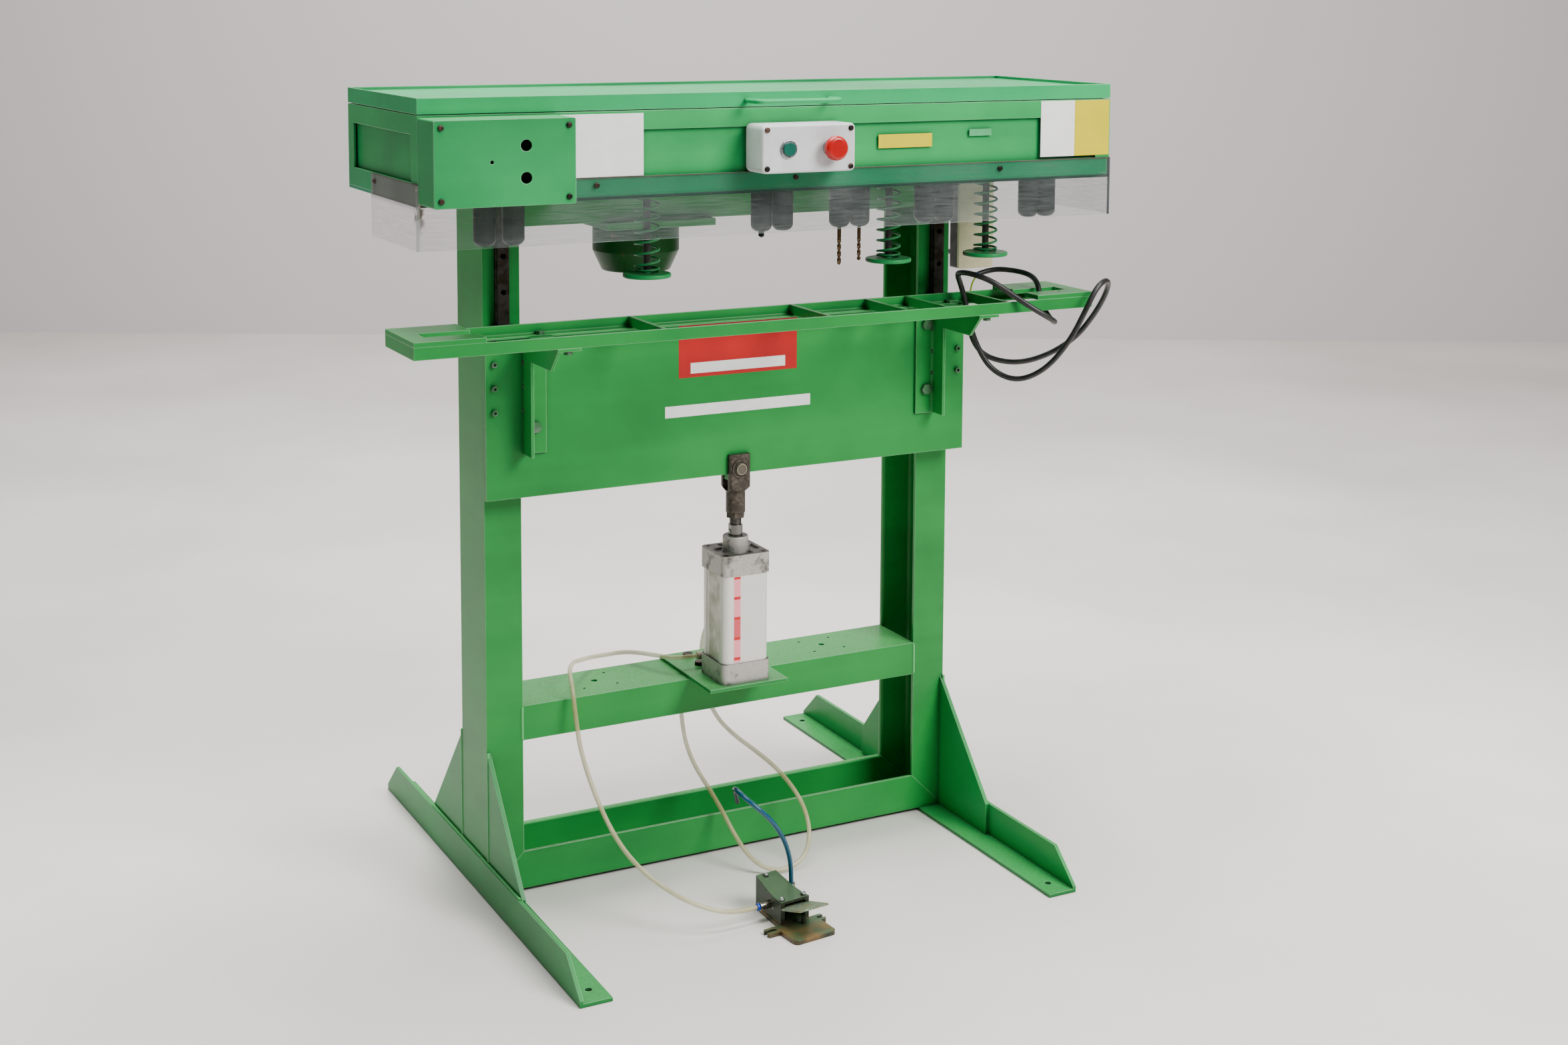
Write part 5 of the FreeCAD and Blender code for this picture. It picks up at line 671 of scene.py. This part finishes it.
hose_diameter = 0.008
cylinder_hose_route = (
    (-0.0807, -0.3497, 0.027), (-0.12, -0.3538, 0.027), (-0.165, -0.352, 0.038), (-0.208, -0.338, 0.058),
    (-0.242, -0.31, 0.08), (-0.262, -0.268, 0.098), (-0.274, -0.218, 0.12), (-0.28, -0.168, 0.15),
    (-0.288, -0.126, 0.196), (-0.296, -0.098, 0.25), (-0.3, -0.088, 0.306), (-0.3, -0.074, 0.352),
    (-0.29, -0.034, 0.368), (-0.266, 0.006, 0.366), (-0.236, 0.04, 0.356), (-0.204, 0.074, 0.346),
    (-0.17, 0.092, 0.34), (-0.142, 0.076, 0.346), (-0.124, 0.04, 0.352), (-0.106, 0.004, 0.355),
    (-0.082, -0.028, 0.355), (-0.044, -0.028, 0.355))
loop_hose_route = (
    (0, -0.028, 0.518), (0, -0.028, 0.484), (0.004, -0.01, 0.442), (0.01, 0.022, 0.402),
    (0.014, 0.06, 0.372), (0.018, 0.084, 0.334), (0.022, 0.088, 0.286), (0.028, 0.084, 0.236),
    (0.042, 0.066, 0.196), (0.060, 0.03, 0.172), (0.078, -0.014, 0.157), (0.095, -0.06, 0.140),
    (0.109, -0.106, 0.115), (0.115, -0.146, 0.084), (0.109, -0.176, 0.046), (0.088, -0.19, 0.016),
    (0.05, -0.198, 0.006), (0.014, -0.19, 0.010), (-0.009, -0.164, 0.030), (-0.018, -0.126, 0.058),
    (-0.022, -0.084, 0.088), (-0.025, -0.036, 0.112), (-0.027, 0.014, 0.132), (-0.026, 0.056, 0.160),
    (-0.024, 0.08, 0.2), (-0.023, 0.086, 0.244), (-0.024, 0.086, 0.286))
supply_hose_route = (
    (-0.0095, -0.3271, 0.045), (-0.0095, -0.3271, 0.074), (-0.018, -0.33, 0.107), (-0.033, -0.334,
     0.138),
    (-0.053, -0.337, 0.166), (-0.075, -0.333, 0.188), (-0.092, -0.313, 0.204), (-0.095, -0.286, 0.210),
    (-0.086, -0.267, 0.198), (-0.077, -0.260, 0.173))
hoses = (
    ("cylinder_air_hose", cylinder_hose_route, "cylinder_hose", clear_tube, "object"),
    ("loop_air_hose", loop_hose_route, "loop_hose", clear_tube, "bare"),
    ("supply_air_hose", supply_hose_route, "supply_hose", blue_polyurethane, "bare"))
for name, route, node, material, far_end in hoses:
    hose = nurbs_line(name, route, hose_diameter)
    hose.data.materials.append(material)
    length = length_of(centre_points(hose))
    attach(hose, "frame")
    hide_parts(node)
    print(name, round(length, 3))

# %% [markdown]
# The mains lead is a rubber cable with three cores. It leaves the switch box on the still portal and
# hangs over the table, which moves, and its tube is a mesh. Its far end is cut off bare, and two of its
# cores stick out of the sheath.

# %% Mains lead
lead_diameter = 0.010
mains_route = (
    (0.548, 0.068, 1.036), (0.548, 0.104, 1.036), (0.544, 0.14, 1.008), (0.536, 0.148, 0.962),
    (0.526, 0.136, 0.912), (0.514, 0.106, 0.868), (0.505, 0.068, 0.848), (0.5, 0.036, 0.862),
    (0.5, 0.02, 0.93), (0.498, -0.004, 0.956), (0.494, -0.04, 0.954), (0.492, -0.068, 0.926),
    (0.492, -0.084, 0.888), (0.512, -0.1, 0.860), (0.56, -0.13, 0.850), (0.610, -0.16, 0.868),
    (0.650, -0.188, 0.902), (0.670, -0.214, 0.946), (0.675, -0.238, 0.982), (0.668, -0.26, 1.01),
    (0.648, -0.277, 1.02), (0.622, -0.287, 1.01), (0.600, -0.287, 0.972), (0.577, -0.272, 0.914),
    (0.547, -0.242, 0.859), (0.508, -0.208, 0.834), (0.474, -0.174, 0.852), (0.456, -0.153, 0.895),
    (0.444, -0.145, 0.938), (0.437, -0.144, 0.974), (0.427, -0.143, 1.006), (0.414, -0.153, 1.024),
    (0.401, -0.173, 1.034), (0.399, -0.199, 1.038), (0.407, -0.223, 1.036), (0.424, -0.241, 1.028),
    (0.443, -0.253, 1.015), (0.462, -0.268, 0.999), (0.484, -0.286, 0.981), (0.512, -0.294, 0.964),
    (0.536, -0.284, 0.952), (0.549, -0.258, 0.948), (0.551, -0.229, 0.962), (0.553, -0.209, 0.986),
    (0.561, -0.19, 1.01), (0.568, -0.152, 1.02), (0.55, -0.116, 1.024), (0.522, -0.094, 1.024),
    (0.496, -0.092, 1.016))
lead_end = mains_route[-1]


def tube_mesh(line, material):
    """Turns a curve with a bevel into a mesh tube."""
    pick_only(line)
    bpy.ops.object.convert(target="MESH")
    tube = bpy.context.object
    tube.data.materials.clear()
    tube.data.materials.append(material)
    bpy.ops.object.shade_smooth()
    return tube


lead = nurbs_line("mains_lead_sheath", mains_route, lead_diameter)
lead_line = centre_points(lead)
lead = tube_mesh(lead, cable_rubber)
core_diameter = 3.2 * mm
core_places = (
    ("blue_core", blue_core_plastic,
     (0.002, 0.001, 0.001), (-0.014, -0.004, 0.006), (-0.008, -0.014, 0.003)),
    ("earth_core", earth_core_plastic,
     (0.002, 0.001, -0.001), (-0.013, 0.002, -0.010), (-0.016, 0.000, -0.034)))
for name, material, *offsets in core_places:
    points = [Vector(lead_end) + Vector(offset) for offset in offsets]
    core = tube_mesh(nurbs_line(name, points, core_diameter), material)
    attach(core, "carriage")
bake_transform(lead)
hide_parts("mains_root", "mains_lead")

# %% [markdown]
# Signs and tapes. Their words and pictures are left out, so each is a blank plate or a blank strip of
# the same size, at the same place. A printed sign is glossy vinyl on a thin board, and its edge is
# rounded a little, as a die cuts it.


# %% Blank signs
def front_plate(name, x_span, z_span, back_y, thickness, material, body):
    """Thin plate that faces the front, with its back at back_y and its edges rounded."""
    bpy.ops.mesh.primitive_cube_add(
        size=1, location=((x_span[0] + x_span[1]) / 2, back_y - thickness / 2,
                          (z_span[0] + z_span[1]) / 2),
        scale=(x_span[1] - x_span[0], thickness, z_span[1] - z_span[0]))
    plate = bpy.context.object
    pick_only(plate)
    bpy.ops.object.transform_apply(location=False, rotation=False, scale=True)
    edit(plate, lambda face: face.normal.y < -0.5)
    bpy.ops.mesh.bevel(offset=thickness * 0.4, segments=2, affect="EDGES")
    bpy.ops.object.mode_set(mode="OBJECT")
    return finish_piece(plate, name, material, body)


head_face = -0.300
panel_face = -0.2975
plate_face = -0.1025
film = 0.2 * mm
board = 0.8 * mm
front_plate("blank_sign_left", (-0.407, -0.2650), (1.2435, 1.3418), head_face, board, white_vinyl,
            "frame")
front_plate("blank_sign_right", (0.4855, 0.5565), (1.2475, 1.3445), head_face, board, white_vinyl,
            "frame")
front_plate("blank_sign_right_part", (0.5565, 0.6305), (1.2475, 1.3445), head_face, board, yellow_vinyl,
            "frame")
front_plate("blank_yellow_strip", (0.1625, 0.2670), (1.2725, 1.2955), panel_face, film, yellow_vinyl,
            "frame")
front_plate("clear_tape", (0.341, 0.386), (1.288, 1.300), panel_face, film, green_tape, "frame")
front_plate("blank_red_panel", (-0.1133, 0.1143), (0.8735, 0.966), plate_face, film, red_vinyl,
            "carriage")
front_plate("blank_white_bar", (-0.0912, 0.0912), (0.8800, 0.8985), plate_face - film, film,
            white_vinyl, "carriage")
front_plate("blank_white_line", (-0.139, 0.1415), (0.8062, 0.8262), plate_face, film, white_vinyl,
            "carriage")
print("signs done")

# %% [markdown]
# The scale strip on the cylinder is a printed foil: a pink band with red blocks 36 mm apart, and a
# stretch of fine red lines that reads as solid red from a step away.

# %% Cylinder strip
strip_foil, tree, shader, place = new_material("strip_foil")
block_spacing = 35.96 * mm
lined_bottom = 0.413
lined_top = 0.449
lined_fade = 3 * mm
height = add(tree, "SeparateXYZ", out=2, Vector=place)
cycle = add(tree, "Math", operation="PINGPONG", i0=height, i1=block_spacing / 2)
blocks = add(tree, "MapRange", Value=cycle, From_Min=15.2 * mm, From_Max=15.6 * mm)
low_part = add(tree, "MapRange", Value=height, From_Min=lined_top, From_Max=lined_top - lined_fade)
high_part = add(tree, "MapRange", Value=height, From_Min=lined_bottom,
                From_Max=lined_bottom + lined_fade)
lined = add(tree, "Math", operation="MULTIPLY", i0=low_part, i1=high_part)
lined = add(tree, "Math", operation="MULTIPLY", i0=lined, i1=0.75)
red_share = add(tree, "Math", operation="MAXIMUM", i0=blocks, i1=lined)
print_colour = add(tree, "Mix", **colour_mix, i0=red_share, i6=linear("#ff97a4"),
                   i7=linear("#cf000e"))
tree.links.new(print_colour, shader.inputs["Base Color"])
shader.inputs["Roughness"].default_value = 0.35
tube_front = tube_axis_y - tube_half_width
front_plate("cylinder_strip", (-0.0242, -0.0116), (0.371, 0.523), tube_front, film, strip_foil, "frame")
print("strip done")

# %% [markdown]
# The two drills are twist drills. Each CAD spindle ends in a plain rod of the drill's size. A copy of
# the spindle loses that rod, and a fluted one takes its place: a pinched circle swept down and round
# by the Screw modifier.


# %% Twist drills
def fluted_rod(x, y, top, tip, radius, turn_length):
    """Twist drill from top down to tip, with two flutes and a conical point."""
    point = radius * 0.6
    length = top - tip - point
    bpy.ops.mesh.primitive_circle_add(vertices=24, radius=radius)
    rod = bpy.context.object
    # Points near the X axis are pressed inwards, twice at the deepest, and make the two flutes.
    for reach, press in ((0.6, 0.78), (0.62, 0.72)):
        edit(rod, lambda corner: abs(corner.co.x) > reach * radius, kind="VERT")
        bpy.ops.transform.resize(value=(press, 1, 1))
        bpy.ops.object.mode_set(mode="OBJECT")
    screw = rod.modifiers.new("twist", "SCREW")
    screw.screw_offset = -length
    screw.angle = 2 * math.pi * length / turn_length
    screw.steps = 72
    screw.render_steps = 72
    screw.use_smooth_shade = True
    apply_modifiers(rod)
    edit(rod, lambda corner: corner.co.z < -length + 0.01 * mm, kind="VERT")
    bpy.ops.mesh.extrude_region_move(TRANSFORM_OT_translate={"value": (0, 0, -point)})
    bpy.ops.mesh.merge(type="CENTER")
    bpy.ops.mesh.select_all(action="SELECT")
    bpy.ops.mesh.normals_make_consistent(inside=False)
    bpy.ops.object.mode_set(mode="OBJECT")
    rod.location = (x, y, top)
    return rod


spindle_y = -0.188
chuck_nose = 1.130
shank_length = 0.018
flute_turn = 0.024
drill_places = (("spindle_5", 0.15001, 0.0035, 1.0640), ("spindle_6", 0.18901, 0.00325, 1.0700))
for node, x, radius, tip in drill_places:
    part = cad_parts[node]
    chuck = part.copy()
    chuck.data = part.data.copy()
    for key in list(chuck.keys()):
        del chuck[key]
    chuck.parent = None
    bpy.context.scene.collection.objects.link(chuck)
    edit(chuck, lambda face: True)
    bpy.ops.mesh.remove_doubles(threshold=0.001 * mm)
    bpy.ops.mesh.bisect(plane_co=(0, 0, chuck_nose - 0.01 * mm), plane_no=(0, 0, 1), use_fill=True,
                        clear_inner=True)
    bpy.ops.object.mode_set(mode="OBJECT")
    bpy.ops.object.shade_smooth_by_angle(angle=math.radians(30))
    chuck.name = node + "_chuck"
    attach(chuck, node)
    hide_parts(node)
    bpy.ops.mesh.primitive_cylinder_add(vertices=32, radius=radius * 0.98, depth=shank_length + 8 * mm,
                                        location=(x, spindle_y, chuck_nose + 4 * mm - shank_length / 2))
    shank = bpy.context.object
    edit(shank, lambda face: face.normal.z < -0.5)
    bpy.ops.mesh.bevel(offset=radius * 0.15, segments=1, affect="EDGES")
    bpy.ops.object.mode_set(mode="OBJECT")
    bpy.ops.object.shade_smooth_by_angle(angle=math.radians(30))
    finish_piece(shank, node + "_shank", drill_steel, node)
    drill = fluted_rod(x, spindle_y, chuck_nose - shank_length, tip, radius, flute_turn)
    finish_piece(drill, node + "_flutes", drill_steel, node)
print("drills done")

# %% [markdown]
# Thread of the piston rod. It is M20 with a pitch of 1.5 mm, and one saw-toothed line swept by the
# Screw modifier makes the whole helix.

# %% Rod thread
thread_pitch = 1.5 * mm
thread_core = 9.9 * mm
thread_start = 0.6055
bpy.ops.mesh.primitive_circle_add(vertices=3, radius=0.7 * mm, location=(thread_core, 0, 0),
                                  rotation=(math.pi / 2, 0, 0))
thread = bpy.context.object
pick_only(thread)
bpy.ops.object.transform_apply(location=True, rotation=True, scale=True)
screw = thread.modifiers.new("helix", "SCREW")
screw.screw_offset = thread_pitch
screw.iterations = 8
screw.steps = 40
screw.render_steps = 40
apply_modifiers(thread)
thread.location = (0, tube_axis_y, thread_start)
finish_piece(thread, "rod_thread", oily_thread_steel, "carriage")
print("rod thread done")

# %% [markdown]
# Weld beads. The portal is arc-welded, and the beads show as rounded, rippled lines along the gussets
# and at the ends of the cross members. Each one is a row of overlapping drops, as the arc leaves them.


# %% Weld beads
weld_radius = 3.0 * mm


def weld_bead(name, start, end):
    """Row of overlapping drops from start to end."""
    line = Vector(end) - Vector(start)
    step = weld_radius * 0.75
    bpy.ops.mesh.primitive_uv_sphere_add(segments=10, ring_count=6, radius=weld_radius)
    bead = bpy.context.object
    edit(bead, lambda face: True)
    bpy.ops.transform.resize(value=(1, 1, 0.7))
    bpy.ops.object.mode_set(mode="OBJECT")
    row = bead.modifiers.new("row", "ARRAY")
    row.use_relative_offset = False
    row.use_constant_offset = True
    row.constant_offset_displace = (0, 0, step)
    row.count = int(line.length / step) + 1
    apply_modifiers(bead)
    bpy.ops.object.shade_smooth()
    bead.rotation_euler = line.to_track_quat("Z", "Y").to_euler()
    bead.location = start
    return finish_piece(bead, name, weld_enamel, "frame")


upright_side = 0.449
gusset_face = 0.0665
gusset_span = (0.066, 0.256)
foot_side = 0.452
foot_weld_reach = 0.222
foot_weld_height = 0.0635
shelf_end = 0.386
shelf_face = -0.0615
shelf_span = (0.270, 0.325)
for side_name, side in (("left", -1), ("right", 1)):
    for face_name, face in (("front", -1), ("back", 1)):
        corner = (side * upright_side, face * gusset_face)
        weld_bead("weld_gusset_" + side_name + "_" + face_name, (*corner, gusset_span[0]),
                  (*corner, gusset_span[1]))
    weld_bead("weld_foot_" + side_name, (side * foot_side, -foot_weld_reach, foot_weld_height),
              (side * foot_side, foot_weld_reach, foot_weld_height))
    weld_bead("weld_shelf_" + side_name, (side * shelf_end, shelf_face, shelf_span[0]),
              (side * shelf_end, shelf_face, shelf_span[1]))
print("welds done")

# %% [markdown]
# Small parts of the foot valve. Three pan-head screws hold its cover, and the push-in fitting on its
# left has a blue release collar round the hose. A screw head is a low cylinder with a rounded top and
# a round recess pressed into it.

# %% Valve screws and collar
valve_place = Vector((-0.034, -0.380, 0))
valve_turn = Matrix.Rotation(math.radians(6), 3, "Z")
screw_radius = 4.4 * mm
screw_height = 3.4 * mm
valve_screws = ((-0.021, 0.001, 0.0480), (0.021, 0.001, 0.0480), (-0.004, 0.075, 0.0592))
for number, local in enumerate(valve_screws, start=1):
    bpy.ops.mesh.primitive_cylinder_add(vertices=24, radius=screw_radius, depth=screw_height)
    head = bpy.context.object
    edit(head, lambda face: face.normal.z > 0.5)
    bpy.ops.mesh.bevel(offset=1.0 * mm, segments=3, affect="EDGES")
    bpy.ops.object.mode_set(mode="OBJECT")
    edit(head, lambda face: face.normal.z > 0.99)
    bpy.ops.mesh.inset(thickness=0.8 * mm)
    bpy.ops.mesh.extrude_region_move(TRANSFORM_OT_translate={"value": (0, 0, -0.8 * mm)})
    bpy.ops.transform.resize(value=(0.75, 0.75, 1))
    bpy.ops.object.mode_set(mode="OBJECT")
    bpy.ops.object.shade_smooth_by_angle(angle=math.radians(35))
    head.location = valve_place + valve_turn @ Vector(local)
    finish_piece(head, "valve_cover_screw_" + str(number), silver_bezel, "frame")

hose_start = Vector(cylinder_hose_route[0])
hose_way = (Vector(cylinder_hose_route[1]) - hose_start).normalized()
bpy.ops.mesh.primitive_cylinder_add(vertices=32, radius=6.0 * mm, depth=5.0 * mm)
collar = bpy.context.object
edit(collar, lambda face: abs(face.normal.z) > 0.5)
bpy.ops.mesh.bevel(offset=0.8 * mm, segments=2, affect="EDGES")
bpy.ops.object.mode_set(mode="OBJECT")
bpy.ops.object.shade_smooth_by_angle(angle=math.radians(35))
collar.rotation_euler = hose_way.to_track_quat("Z", "Y").to_euler()
collar.location = hose_start + hose_way * 3.0 * mm
finish_piece(collar, "valve_hose_collar", blue_collet_plastic, "frame")
print("valve parts done")
